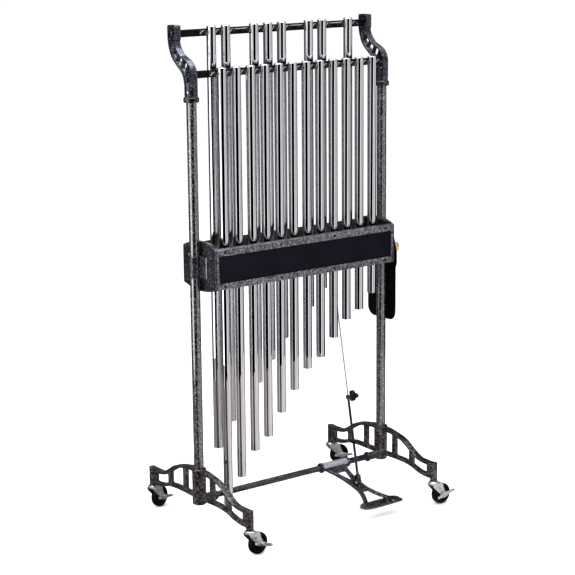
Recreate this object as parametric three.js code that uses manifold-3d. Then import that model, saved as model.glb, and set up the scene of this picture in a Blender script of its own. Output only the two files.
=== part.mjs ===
// Tubular bells: twenty hanging tubes in two rows on a wheeled frame, with a
// foot-worked damper box half way up. Millimetres, +Z up, the player's side is -Y.
import * as THREE from 'three';
import { mergeVertices } from 'three/addons/utils/BufferGeometryUtils.js';
import Module from 'manifold-3d';

// ---------------------------------------------------------------- dimensions
const POST_X = 404;            // half the distance between the two posts
const POST_R = 17;             // post radius
const POST_WALL = 2.5;
const POST_Z = [105, 1536];    // post ends

const BELL_R = 15.875;         // tube radius
const BELL_WALL = 1.4;
const BELL_LONGEST = 1500;     // lowest note's tube
const BELL_EXP = 1.054;        // length law: longest * 2^(-semitone/24 * BELL_EXP)
const PITCH = 57.97;           // spacing of the front row
const FIRST_X = -305.1;        // first tube of the front row
const ROW_Y = [-32.2, 65.9];   // front row, rear row
const ROW_TOP = [1587, 1716];  // tube tops
const HOLE_DROP = 27;          // cord hole below the tube's top
const HOLE_R = 3.3;
const FRONT_NOTES = [0, 2, 4, 5, 7, 9, 11, 12, 14, 16, 17, 19];
const FRONT_NAMES = ['c5', 'd5', 'e5', 'f5', 'g5', 'a5', 'b5', 'c6', 'd6', 'e6', 'f6', 'g6'];
const REAR_NOTES = [1, 3, 6, 8, 10, 13, 15, 18];
const REAR_SLOTS = [0.5, 1.5, 3.5, 4.5, 5.5, 7.5, 8.5, 10.5];
const REAR_NAMES = ['cs5', 'ds5', 'fs5', 'gs5', 'as5', 'cs6', 'ds6', 'fs6'];

const RAIL_Z = [1567, 1694];   // centre heights of the two hanger rails
const RAIL_Y = [-6, 92.1];     // centres in depth
const RAIL_H = 24;
const RAIL_T = 12;
const RAIL_HALF = 391.7;
const PEG_R = 4;
const CORD_R = 1.5;
const CORD_RISE = 13;          // height of the cord over a peg above the tube's holes

const BRACKET_T = 24;
const LEG_Y = 295;             // caster stem positions in front of and behind the post
const STUB_R = 13;
const SOCKET_R = 24;

const BAR_Z = 118.6;           // cross bar axis
const BAR_R = 11;
const BAR_HALF = 378;

const PEDAL_X = 183.6;         // pedal and rod centre plane
const PEDAL_SLEEVE = 110;
const PEDAL_SLOPE = 14.0;      // degrees
const PIVOT_Y = -141;          // rod's lower pin
const PIVOT_Z = 91;
const ROD_TOP_Y = 12;          // rod's upper hook
const ROD_TOP_Z = 893;

const WHEEL_R = 37.5;
const WHEEL_W = 24;
const TRAIL = 35;
const TRAIL_ANGLES = [8, 20, 1, -8];   // degrees, direction in which each wheel trails
const LEVER_REST = [-16, -7, 13, -5];  // degrees, how each brake's rocker stands above the horizontal

const BOX_HALF = 380;          // inner faces of the end castings
const BOX_T = 5;
const BOX_Y = [-95, 97.7];
const BOX_Z = [860, 996];
const DAMP_MID = 16.85;        // middle of the gap between the rows
const WEDGE_SLOPE = 0.55;

// ------------------------------------------------------------------- solids
const wasm = await Module();
wasm.setup();

const rad = (d) => (d * Math.PI) / 180;

function solid(geometry) {
  const g = geometry.clone();
  g.deleteAttribute('normal');
  g.deleteAttribute('uv');
  const m = mergeVertices(g, 1e-4);
  return new wasm.Manifold(new wasm.Mesh({
    numProp: 3,
    vertProperties: new Float32Array(m.attributes.position.array),
    triVerts: new Uint32Array(m.index.array),
  }));
}

function geometryOf(manifold) {
  const m = manifold.getMesh();
  const g = new THREE.BufferGeometry();
  g.setAttribute('position', new THREE.BufferAttribute(new Float32Array(m.vertProperties), 3));
  g.setIndex(new THREE.BufferAttribute(new Uint32Array(m.triVerts), 1));
  g.computeVertexNormals();
  return g;
}

const union = (...parts) => geometryOf(parts.map(solid).reduce((a, b) => a.add(b)));
const common = (a, b) => geometryOf(solid(a).intersect(solid(b)));
const cut = (base, ...tools) => geometryOf(tools.map(solid).reduce((a, b) => a.subtract(b), solid(base)));

const box = (x0, x1, y0, y1, z0, z1) => new THREE.BoxGeometry(x1 - x0, y1 - y0, z1 - z0)
  .translate((x0 + x1) / 2, (y0 + y1) / 2, (z0 + z1) / 2);

// cylinder along z, y or x
const cylZ = (r, z0, z1, n = 20, x = 0, y = 0) => new THREE.CylinderGeometry(r, r, z1 - z0, n)
  .rotateX(Math.PI / 2).translate(x, y, (z0 + z1) / 2);
const cylX = (r, x0, x1, n = 20, y = 0, z = 0) => new THREE.CylinderGeometry(r, r, x1 - x0, n)
  .rotateZ(Math.PI / 2).translate((x0 + x1) / 2, y, z);
const cylY = (r, y0, y1, n = 20, x = 0, z = 0) => new THREE.CylinderGeometry(r, r, y1 - y0, n)
  .translate(x, (y0 + y1) / 2, z);

// turned shape about z from [radius, height] pairs that start and end on the axis
const turned = (pairs, n = 20) => new THREE.LatheGeometry(pairs.map(([r, z]) => new THREE.Vector2(r, z)), n)
  .rotateX(Math.PI / 2);

// ring about z from a closed [radius, height] loop
const ring = (pairs, n = 20) => turned([...pairs, pairs[0]], n);

const shapeOf = (points, holes = []) => {
  const s = new THREE.Shape(points.map(([a, b]) => new THREE.Vector2(a, b)));
  for (const h of holes) s.holes.push(new THREE.Path(h.map(([a, b]) => new THREE.Vector2(a, b))));
  return s;
};

// outline in the y-z plane, thick along x
function slabX(points, x0, x1, holes = []) {
  const g = new THREE.ExtrudeGeometry(shapeOf(points, holes), { depth: x1 - x0, bevelEnabled: false, curveSegments: 8 });
  g.applyMatrix4(new THREE.Matrix4().set(0, 0, 1, x0, 1, 0, 0, 0, 0, 1, 0, 0, 0, 0, 0, 1));
  return g;
}

// outline in the x-y plane, thick along z
function slabZ(points, z0, z1, holes = []) {
  return new THREE.ExtrudeGeometry(shapeOf(points, holes), { depth: z1 - z0, bevelEnabled: false, curveSegments: 8 })
    .translate(0, 0, z0);
}

// outline in the x-z plane, thick along y
function slabY(points, y0, y1, holes = []) {
  const g = new THREE.ExtrudeGeometry(shapeOf(points, holes), { depth: y1 - y0, bevelEnabled: false, curveSegments: 8 });
  g.applyMatrix4(new THREE.Matrix4().set(1, 0, 0, 0, 0, 0, -1, y1, 0, 1, 0, 0, 0, 0, 0, 1));
  return g;
}

const circle = (cx, cy, r, n, a0 = 0) => Array.from({ length: n }, (_, i) => {
  const a = a0 + (2 * Math.PI * i) / n;
  return [cx + r * Math.cos(a), cy + r * Math.sin(a)];
});

// a path whose sections stand exactly on the given points
class Polyline extends THREE.Curve {
  constructor(points) {
    super();
    this.points = points.map((p) => new THREE.Vector3(...p));
  }

  getPoint(t) {
    const n = this.points.length - 1;
    const i = Math.min(Math.floor(t * n), n - 1);
    return this.points[i].clone().lerp(this.points[i + 1], t * n - i);
  }

  getPointAt(t) { return this.getPoint(t); }

  getSpacedPoints() { return this.points.map((p) => p.clone()); }

  getTangentAt(t) {
    const n = this.points.length - 1;
    const i = Math.round(t * n);
    const a = this.points[Math.max(i - 1, 0)];
    const b = this.points[i];
    const c = this.points[Math.min(i + 1, n)];
    const u = b.clone().sub(a);
    const v = c.clone().sub(b);
    if (u.length() > 0) u.normalize();
    if (v.length() > 0) v.normalize();
    return u.add(v).normalize();
  }
}

function along(points, r, sides) {
  return new THREE.ExtrudeGeometry(shapeOf(circle(0, 0, r, sides)), {
    steps: points.length - 1, bevelEnabled: false, extrudePath: new Polyline(points),
  });
}

// ---------------------------------------------------------------- materials
const finish = {
  chrome: { color: 0xd8d8dc, roughness: 0.06, metalness: 1 },
  hammertone: { color: 0x3b3438, roughness: 0.42, metalness: 0.6 },
  silverhammer: { color: 0x6d676c, roughness: 0.4, metalness: 0.6 },
  black: { color: 0x0c0c0e, roughness: 0.35, metalness: 0.2 },
  panel: { color: 0x10101a, roughness: 0.5, metalness: 0.1 },
  cord: { color: 0x77756f, roughness: 0.7, metalness: 0 },
  felt: { color: 0x6b4c3a, roughness: 0.95, metalness: 0 },
  nickel: { color: 0xb8b6ae, roughness: 0.25, metalness: 1 },
  rubber: { color: 0x08080a, roughness: 0.5, metalness: 0 },
  alloy: { color: 0x8d8f92, roughness: 0.4, metalness: 1 },
  steel: { color: 0x9ea4a6, roughness: 0.3, metalness: 1 },
  cloth: { color: 0x060608, roughness: 0.6, metalness: 0 },
  hide: { color: 0xb08a5a, roughness: 0.8, metalness: 0 },
};

const root = new THREE.Group();

function add(name, geometry, kind, parent = root) {
  const mesh = new THREE.Mesh(geometry, new THREE.MeshStandardMaterial(finish[kind]));
  mesh.name = name;
  parent.add(mesh);
  return mesh;
}

// -------------------------------------------------------------------- bells
const bellLength = (note) => BELL_LONGEST * 2 ** ((-note / 24) * BELL_EXP);

function bell(length) {
  const tube = turned([
    [0, -9], [BELL_R - BELL_WALL, -9], [BELL_R - BELL_WALL, -length], [BELL_R, -length],
    [BELL_R, -2.5], [BELL_R - 2.2, 0], [0, 0],
  ], 12);
  return cut(tube, cylX(HOLE_R, -20, 20, 6, 0, -HOLE_DROP));
}

FRONT_NOTES.forEach((note, i) => {
  const m = add(`bell_${FRONT_NAMES[i]}`, bell(bellLength(note)), 'chrome');
  m.position.set(FIRST_X + i * PITCH, ROW_Y[0], ROW_TOP[0]);
});
REAR_NOTES.forEach((note, i) => {
  const m = add(`bell_${REAR_NAMES[i]}`, bell(bellLength(note)), 'chrome');
  m.position.set(FIRST_X + REAR_SLOTS[i] * PITCH, ROW_Y[1], ROW_TOP[1]);
});

// ----------------------------------------------------- hanger rails and cords
const frontPegs = Array.from({ length: 13 }, (_, i) => FIRST_X + (i - 0.5) * PITCH);
const rearPegs = [...new Set(REAR_SLOTS.flatMap((s) => [s - 0.5, s + 0.5]))].map((s) => FIRST_X + s * PITCH);

function rail(row, pegs) {
  const z = RAIL_Z[row];
  const y = RAIL_Y[row];
  const face = y - RAIL_T / 2;
  const pegZ = ROW_TOP[row] - HOLE_DROP + CORD_RISE - PEG_R - CORD_R - 0.3;
  const bar = box(-RAIL_HALF, RAIL_HALF, face, y + RAIL_T / 2, z - RAIL_H / 2, z + RAIL_H / 2);
  const parts = [bar];
  for (const x of pegs) {
    parts.push(cylY(PEG_R, ROW_Y[row] - 6, face + 1, 6, x, pegZ));
    parts.push(cylY(7.5, ROW_Y[row] - 8.5, ROW_Y[row] - 5, 6, x, pegZ + 1.5));
  }
  return union(...parts);
}
add('front_hanger_rail', rail(0, frontPegs), 'black');
add('rear_hanger_rail', rail(1, rearPegs), 'black');

function cord(row, pegs, bells) {
  const low = ROW_TOP[row] - HOLE_DROP;
  const high = low + CORD_RISE;
  const pts = [];
  const put = (x, z) => pts.push([x, ROW_Y[row], z]);
  put(pegs[0] - 13, high - 9);
  pegs.forEach((x, i) => {
    put(x - 3.5, high);
    put(x + 3.5, high);
    const b = bells.find((c) => c > x && c < x + PITCH);
    if (b !== undefined) {
      put(b - 17.5, low);
      put(b + 17.5, low);
    }
    if (i === pegs.length - 1) put(x + 13, high - 9);
  });
  return along(pts, CORD_R, 4);
}
add('front_bell_cord', cord(0, frontPegs, FRONT_NOTES.map((_, i) => FIRST_X + i * PITCH)), 'cord');
add('rear_bell_cord', cord(1, rearPegs, REAR_SLOTS.map((s) => FIRST_X + s * PITCH)), 'cord');

// --------------------------------------------------------------- side frames
// lacing of the curved top bracket: front edge and rear edge, low to high
const bracketOutline = [
  [-21.5, 1537], [-21.5, 1566], [-18, 1583], [-8, 1599], [6, 1611], [26, 1620], [43, 1627], [55, 1637], [67, 1651],
  [74, 1667], [73, 1690], [72, 1717], [75, 1723], [112, 1723], [115.5, 1717], [115.5, 1684], [114, 1664], [107, 1642],
  [97, 1622], [80, 1604], [59, 1588], [38, 1572], [28, 1557], [24, 1537],
];
const frontFlange = [[81, 1668], [75, 1650], [63, 1634], [49, 1621], [30, 1612], [11, 1603], [-3, 1591], [-11, 1575]];
const rearFlange = [[108, 1668], [101, 1646], [91, 1627], [76, 1611], [56, 1595], [35, 1580], [23, 1565], [18, 1556]];
const at = (line, t) => {
  const i = Math.max(0, Math.min(Math.floor(t), line.length - 2));
  const f = t - i;
  return [line[i][0] + (line[i + 1][0] - line[i][0]) * f, line[i][1] + (line[i + 1][1] - line[i][1]) * f];
};
function lacingHole(a, b, lean) {
  const f = (t) => at(frontFlange, Math.max(0, Math.min(7, t)));
  const r = (t) => at(rearFlange, Math.max(0, Math.min(7, t)));
  return [f(a), f((a + b) / 2), f(b), r(b + lean), r((a + b) / 2 + lean), r(a + lean)];
}
const bracketHoles = [
  [at(frontFlange, 0.1), at(frontFlange, 0.55), at(rearFlange, 1.35), at(rearFlange, 0.1)],
  lacingHole(1.0, 2.05, 0.8),
  lacingHole(2.45, 3.5, 0.8),
  lacingHole(3.95, 5.0, 0.7),
  [at(frontFlange, 5.5), at(frontFlange, 6.6), at(rearFlange, 6.9), at(rearFlange, 6.2)],
];

function topBracket(side) {
  const x = side * POST_X;
  const t = BRACKET_T / 2;
  const web = slabX(bracketOutline, x - t + 5, x + t - 5, bracketHoles);
  const strip = (line, inset) => slabX([...line, ...line.map(([y, z], i) => {
    const a = line[Math.max(i - 1, 0)];
    const b = line[Math.min(i + 1, line.length - 1)];
    const l = Math.hypot(b[0] - a[0], b[1] - a[1]);
    return [y + (inset * (b[1] - a[1])) / l, z - (inset * (b[0] - a[0])) / l];
  }).reverse()], x - t, x + t);
  const frontStrip = strip(bracketOutline.slice(1, 11), 6);
  const rearStrip = strip(bracketOutline.slice(15, 23), 6);
  const boss = slabX([[71.5, 1672], [71.5, 1718], [75, 1723.5], [112, 1723.5], [116, 1718], [116, 1672]], x - t, x + t);
  const noseBoss = slabX([[-21.5, 1530], [-21.5, 1568], [-17, 1583], [6, 1583], [6, 1530]], x - t, x + t);
  const socket = cylZ(22, 1490, 1542, 16, x, 0);
  const lip = cylZ(26, 1478, 1494, 16, x, 0);
  const bore = cylZ(POST_R + 0.75, 1470, POST_Z[1] + 0.4, 16, x, 0);
  const body = union(web, frontStrip, rearStrip, boss, noseBoss, socket, lip);
  return cut(body, bore);
}
add('left_top_bracket', topBracket(-1), 'hammertone');
add('right_top_bracket', topBracket(1), 'hammertone');

function post(side) {
  const g = ring([
    [POST_R - POST_WALL, POST_Z[0]], [POST_R, POST_Z[0]], [POST_R, POST_Z[1]], [POST_R - POST_WALL, POST_Z[1]],
  ], 16);
  return g.translate(side * POST_X, 0, 0);
}
add('left_post', post(-1), 'hammertone');
add('right_post', post(1), 'hammertone');

// ornamental legs, symmetrical front to rear
const legTop = [[22, 226], [45, 226], [95, 217.5], [118, 212], [140, 204], [180, 180], [205, 166], [225, 159], [245, 157], [286, 157]];
const legBottom = [[286, 99], [245, 100], [215, 105], [175, 117], [145, 121], [110, 122], [22, 121]];
const legUnder = [[28, 210], [60, 209], [92, 205], [115, 199], [135, 190], [172, 168.5], [195, 155.5], [212, 149], [234, 144.5],
  [262, 144]];
const legOver = [[28, 136], [110, 137], [145, 135.5], [175, 131], [205, 121.5], [235, 115], [262, 113]];
const lineZ = (line, y) => {
  for (let i = 0; i < line.length - 1; i += 1) {
    if (y <= line[i + 1][0]) {
      return line[i][1] + ((line[i + 1][1] - line[i][1]) * (y - line[i][0])) / (line[i + 1][0] - line[i][0]);
    }
  }
  return line[line.length - 1][1];
};
function legHole(y0, y1) {
  const up = legUnder.filter(([y]) => y > y0 + 2 && y < y1 - 2);
  const low = legOver.filter(([y]) => y > y0 + 2 && y < y1 - 2);
  return [
    [y0, lineZ(legOver, y0)], ...low, [y1, lineZ(legOver, y1)],
    [y1, lineZ(legUnder, y1)], ...up.reverse(), [y0, lineZ(legUnder, y0)],
  ];
}
function leg(side) {
  const x = side * POST_X;
  const parts = [];
  const flip = (pts, s) => (s > 0 ? pts : pts.map(([y, z]) => [-y, z]));
  for (const s of [1, -1]) {
    const holes = [legHole(29, 71), legHole(92, 166), legHole(187, 262)].map((h) => flip(h, s));
    parts.push(slabX(flip([...legTop, ...legBottom], s), x - 7, x + 7, holes));
    const band = (line, off) => flip([...line, ...line.map(([y, z]) => [y, z + off]).reverse()], s);
    parts.push(slabX(band(legTop, -7), x - 13, x + 13));
    parts.push(slabX(band(legBottom, 6), x - 10, x + 10));
    parts.push(cylZ(STUB_R, 90, 158.5, 10, x, s * LEG_Y));
  }
  parts.push(cylZ(SOCKET_R, 104, 228, 16, x, 0));
  parts.push(new THREE.CylinderGeometry(SOCKET_R, 17, 5, 16).rotateX(Math.PI / 2).translate(x, 0, 101.5));
  parts.push(cylX(14.5, Math.min(-side * -335, x), Math.max(side * 335, x), 12, 0, BAR_Z));
  parts.push(cylX(18, side > 0 ? 335 : -343, side > 0 ? 343 : -335, 12, 0, BAR_Z));
  const tools = [
    cylZ(POST_R + 0.75, POST_Z[0] - 0.4, 240, 16, x, 0),
    cylX(BAR_R + 0.7, side > 0 ? 330 : -(BAR_HALF + 0.4), side > 0 ? BAR_HALF + 0.4 : -330, 12, 0, BAR_Z),
    cylZ(6.2, 80, 126, 8, x, LEG_Y),
    cylZ(6.2, 80, 126, 8, x, -LEG_Y),
  ];
  return cut(union(...parts), ...tools);
}
add('left_leg', leg(-1), 'hammertone');
add('right_leg', leg(1), 'hammertone');

// cross bar with the two stop collars that hold the pedal's sleeve in place
{
  const tube = new THREE.LatheGeometry([[BAR_R - 2, -BAR_HALF], [BAR_R, -BAR_HALF], [BAR_R, BAR_HALF], [BAR_R - 2, BAR_HALF],
    [BAR_R - 2, -BAR_HALF]].map(([r, z]) => new THREE.Vector2(r, z)), 12).rotateZ(-Math.PI / 2).translate(0, 0, BAR_Z);
  const s = PEDAL_SLEEVE / 2 + 0.4;
  const collar = (x0, x1) => cut(cylX(18.5, x0, x1, 12, 0, BAR_Z), cylX(BAR_R - 1, x0 - 1, x1 + 1, 12, 0, BAR_Z));
  add('cross_bar', union(tube, collar(PEDAL_X - s - 8, PEDAL_X - s), collar(PEDAL_X + s, PEDAL_X + s + 8)), 'hammertone');
}

// ------------------------------------------------------------------- casters
const axle = [TRAIL, WHEEL_R];
function fork() {
  const parts = [
    turned([[0, 79], [18.5, 79], [18.5, 86], [15, 89.6], [5.5, 89.6], [5.5, 122], [0, 122]], 12),
    box(-15, 26, -16.8, 16.8, 78.5, 82.5),
  ];
  const outline = [
    [-15, 82], [-14, 72], [4, 54], [axle[0] - 9, axle[1] - 4], [axle[0] - 4, axle[1] - 8.5], [axle[0] + 4, axle[1] - 8.5],
    [axle[0] + 9, axle[1] - 4], [axle[0] + 8, axle[1] + 8], [34, 62], [31, 77], [27, 82],
  ];
  parts.push(slabY(outline, 13.6, 16.8));
  parts.push(slabY(outline, -16.8, -13.6));
  parts.push(cylY(4, -24.5, 20, 8, axle[0], axle[1]));
  parts.push(cylY(6.6, -27, -24.2, 8, axle[0], axle[1]));
  return union(...parts);
}
// a flat of the tread lies on the floor, so the facets' corners stand a little proud of the wheel's radius
const TREAD = WHEEL_R / Math.cos(Math.PI / 18);
const wheel = () => ring([
  [4.9, -10], [31, -WHEEL_W / 2], [TREAD, -7], [TREAD, 7], [31, WHEEL_W / 2], [4.9, 10],
], 18).rotateZ(Math.PI / 18).rotateX(Math.PI / 2).translate(axle[0], 0, axle[1]);
// rocker on the axle's outer end: treading on one end locks the wheel, and on the other frees it
function brakeLever(angle) {
  const bar = slabY([
    [-34, -4], [-12, -6.5], [-6, -9.5], [6, -9.5], [14, -6.5], [46, -4.5], [46, 4.5], [14, 6.5], [6, 9.5], [-6, 9.5], [-12, 6.5], [-34, 4],
  ], -23.6, -21.2, [circle(0, 0, 4.8, 8)]);
  const tabs = [box(35, 46, -31, -21.4, -1.6, 1.6), box(-34, -24, -29, -21.4, -1.6, 1.6)];
  return union(bar, ...tabs).rotateY(-rad(angle)).translate(axle[0], 0, axle[1]);
}
for (const [i, [name, sx, sy]] of [['front_left', -1, -1], ['rear_left', -1, 1], ['front_right', 1, -1], ['rear_right', 1, 1]].entries()) {
  const g = new THREE.Group();
  g.position.set(sx * POST_X, sy * LEG_Y, 0);
  g.rotation.z = rad(TRAIL_ANGLES[i]);
  root.add(g);
  add(`${name}_caster_fork`, fork(), 'nickel', g);
  add(`${name}_caster_wheel`, wheel(), 'rubber', g);
  add(`${name}_brake_lever`, brakeLever(LEVER_REST[i]), 'steel', g);
}

// ---------------------------------------------------------------- damper box
// barrel-shaped end casting with a saddle that grips the post
const endOutline = [
  [BOX_Y[0], 860], [-70, 853.5], [-45, 849], [-15, 846], [15, 846], [45, 849], [72, 855], [BOX_Y[1], 862],
  [BOX_Y[1], 990], [80, 998], [55, 1006], [28, 1012], [0, 1014], [-28, 1013.5], [-52, 1010], [-76, 1003], [BOX_Y[0], 995],
];
function endCasting(side) {
  const sx = (a, b) => (side > 0 ? [a, b] : [-b, -a]);
  const [p0, p1] = sx(BOX_HALF, BOX_HALF + BOX_T);
  const plate = slabX(endOutline, p0, p1);
  const inner = endOutline.map(([y, z]) => [y * 0.93 + 0.1, 929 + (z - 929) * 0.91]);
  const [r0, r1] = sx(BOX_HALF - 7, BOX_HALF + 1);
  const saddle = slabZ([[BOX_HALF + 4, -52], [BOX_HALF + 12, -49], [POST_X - 6, -26], [POST_X - 6, 26], [BOX_HALF + 12, 49], [BOX_HALF + 4, 52]]
    .map(([x, y]) => [side * x, y]), 894, 967);
  const hump = cylZ(22, 894, 967, 16, side * POST_X, 0);
  const [b0, b1] = sx(BOX_HALF + 2, POST_X);
  const block = box(b0, b1, -22, 22, 894, 967);
  const bore = cylZ(POST_R + 0.75, 880, 980, 16, side * POST_X, 0);
  const [l0, l1] = sx(BOX_HALF - 16, BOX_HALF + 1);
  const ledgeFront = box(l0, l1, -14, 1.2, 916, 927.4);
  const ledgeRear = box(l0, l1, 32.5, 47.7, 916, 927.4);
  const rimTop = slabX([...endOutline.slice(8), ...inner.slice(8).reverse()], r0, r1);
  const clear = box(Math.min(r0, r1) - 1, Math.max(r0, r1) - 0, BOX_Y[0] - 1, BOX_Y[0] + 25.5, 850, 1010);
  const clearRear = box(Math.min(r0, r1) - 1, Math.max(r0, r1) - 0, BOX_Y[1] - 9.5, BOX_Y[1] + 1, 850, 1010);
  const rim = cut(rimTop, clear, clearRear);
  return cut(union(plate, rim, saddle, hump, block, ledgeFront, ledgeRear), bore);
}
add('left_end_casting', endCasting(-1), 'silverhammer');
add('right_end_casting', endCasting(1), 'silverhammer');

const FRONT_HALF = BOX_HALF - 0.3;
add('front_frame', cut(
  box(-FRONT_HALF, FRONT_HALF, BOX_Y[0], -70, BOX_Z[0], BOX_Z[1]),
  box(-FRONT_HALF + 2.5, FRONT_HALF - 2.5, BOX_Y[0] + 3, -60, BOX_Z[0] + 2.5, BOX_Z[1] - 2.5),
  box(-FRONT_HALF + 9, FRONT_HALF - 9, BOX_Y[0] - 5, BOX_Y[0] + 5, BOX_Z[0] + 22, BOX_Z[1] - 22),
), 'silverhammer');
add('front_panel', box(-FRONT_HALF + 3, FRONT_HALF - 3, BOX_Y[0] + 3.3, BOX_Y[0] + 6.3, BOX_Z[0] + 8, BOX_Z[1] - 8), 'panel');
add('rear_wall', box(-FRONT_HALF, FRONT_HALF, 95, BOX_Y[1], BOX_Z[0], 991), 'black');
add('rear_wall_felt', box(-371, 371, 89, 94.7, 880, 986), 'felt');

// wedge bar between the rows, and the two felted bars it spreads
{
  const w = (z) => 4 + WEDGE_SLOPE * (950 - z);
  const wedge = slabX([[-4, 950], [-w(931), 931], [-w(931), 922], [w(931), 922], [w(931), 931], [4, 950]]
    .map(([h, z]) => [DAMP_MID + h, z]), -362, 362);
  const lug = cut(box(PEDAL_X + 3.6, PEDAL_X + 9.6, 2.6, 24, 884, 924), cylX(4.6, PEDAL_X, PEDAL_X + 14, 12, ROD_TOP_Y, ROD_TOP_Z));
  add('damper_wedge_bar', union(wedge, lug), 'alloy');
  const half = 17.55;
  const bar = (s) => slabX([
    [half + 5, 928], [half, 928], [half, 929.5], [w(931) + 0.4, 931], [w(938) + 0.4, 938], [half, 942.5], [half, 966], [half + 5, 966],
  ].map(([h, z]) => [DAMP_MID + s * h, z]), -370, 370);
  const felt = (s) => {
    const a = DAMP_MID + s * (half + 5.3);
    const b = DAMP_MID + s * (half + 15.3);
    return box(-368, 368, Math.min(a, b), Math.max(a, b), 929, 965);
  };
  add('front_damper_bar', bar(-1), 'alloy');
  add('rear_damper_bar', bar(1), 'alloy');
  add('front_damper_felt', felt(-1), 'felt');
  add('rear_damper_felt', felt(1), 'felt');
}

// --------------------------------------------------------- pedal and its rod
{
  const slope = rad(PEDAL_SLOPE);
  // outline in pedal coordinates: half width against distance from the bar axis
  const edge = [[46, 8], [43, 22], [34, 50], [28.5, 78], [25, 110], [23.5, 140], [24.5, 165], [29, 188], [36, 206], [45, 226], [53, 242],
    [61, 250], [79, 255.5]];
  const toe = [[86, 264], [91.5, 287], [60, 287.5], [30, 289], [-30, 289], [-60, 286.5], [-76, 282], [-86.5, 270], [-84, 261]];
  const outline = [...edge, ...toe, ...edge.slice().reverse().map(([h, v]) => [-h, v])];
  const rearHole = [[22, 40], [16, 60], [10, 82], [4, 103], [-4, 103], [-10, 82], [-16, 60], [-22, 40]];
  const frontHole = [[12.5, 183], [19, 205], [30, 230], [43, 253], [-43, 253], [-30, 230], [-19, 205], [-12.5, 183]];
  const plate = new THREE.ExtrudeGeometry(shapeOf(outline, [rearHole, frontHole]), { depth: 9, bevelEnabled: false });
  // plate's own x stays x, its second axis runs forward and down
  plate.translate(0, 0, -4.5);
  plate.applyMatrix4(new THREE.Matrix4().set(
    1, 0, 0, PEDAL_X,
    0, -Math.cos(slope), -Math.sin(slope), 0,
    0, -Math.sin(slope), Math.cos(slope), 112,
    0, 0, 0, 1,
  ));
  // the mapping above turns the plate inside out, so its triangles are reversed
  const p = plate;
  const a = p.attributes.position.array;
  for (let i = 0; i < a.length; i += 9) {
    for (let k = 0; k < 3; k += 1) { const t = a[i + 3 + k]; a[i + 3 + k] = a[i + 6 + k]; a[i + 6 + k] = t; }
  }
  const sleeve = cylX(16, PEDAL_X - PEDAL_SLEEVE / 2, PEDAL_X + PEDAL_SLEEVE / 2, 12, 0, BAR_Z);
  const lug = slabX([[PIVOT_Y - 11, 74], [PIVOT_Y + 11, 80], [PIVOT_Y + 6, PIVOT_Z + 5], [PIVOT_Y, PIVOT_Z + 7.5], [PIVOT_Y - 6, PIVOT_Z + 5]],
    PEDAL_X - 4, PEDAL_X + 4);
  const pedal = cut(union(p, sleeve, lug),
    cylX(BAR_R + 0.75, PEDAL_X - 80, PEDAL_X + 80, 12, 0, BAR_Z),
    cylX(3.7, PEDAL_X - 10, PEDAL_X + 10, 12, PIVOT_Y, PIVOT_Z));
  add('pedal', pedal, 'hammertone');

  const rodLength = Math.hypot(ROD_TOP_Y - PIVOT_Y, ROD_TOP_Z - PIVOT_Z);
  const rod = new THREE.Group();
  rod.position.set(PEDAL_X, PIVOT_Y, PIVOT_Z);
  rod.rotation.x = -Math.atan2(ROD_TOP_Y - PIVOT_Y, ROD_TOP_Z - PIVOT_Z);
  root.add(rod);
  const clevis = cut(
    union(box(-8.5, 8.5, -6.5, 6.5, 0, 26), cylX(6.5, -8.5, 8.5, 10)),
    box(-4.5, 4.5, -9, 9, -12, 12),
  );
  const tube = turned([[0, 24], [4.75, 24], [4.75, 301], [8.5, 301], [8.5, 315], [3.3, 315], [3.3, 112], [0, 112]], 10);
  const boss = cylX(5.5, 6, 13, 10, 0, 308);
  const screwHole = cylX(3, 7.5, 20, 8, 0, 308);
  const pin = cylX(3, -10.5, 10.5, 8);
  add('lower_rod_tube', cut(union(clevis, pin, tube, boss), screwHole), 'black', rod);
  add('upper_rod', along([[0, 0, 120], [0, 0, 811], [0.8, 0, 814.4], [3, 0, rodLength], [14, 0, rodLength]]
    .map(([x, y, z]) => [x, y, z]), 2.5, 8), 'steel', rod);
  const lobes = Array.from({ length: 24 }, (_, i) => {
    const t = (2 * Math.PI * i) / 24;
    const r = 16.3 - 5.2 * Math.cos(3 * t);
    return [r * Math.cos(t), 308 + r * Math.sin(t)];
  });
  add('rod_knob', union(slabX(lobes, 17.5, 31.5), cylX(2.4, 8, 19, 8, 0, 308)), 'rubber', rod);
}

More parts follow.
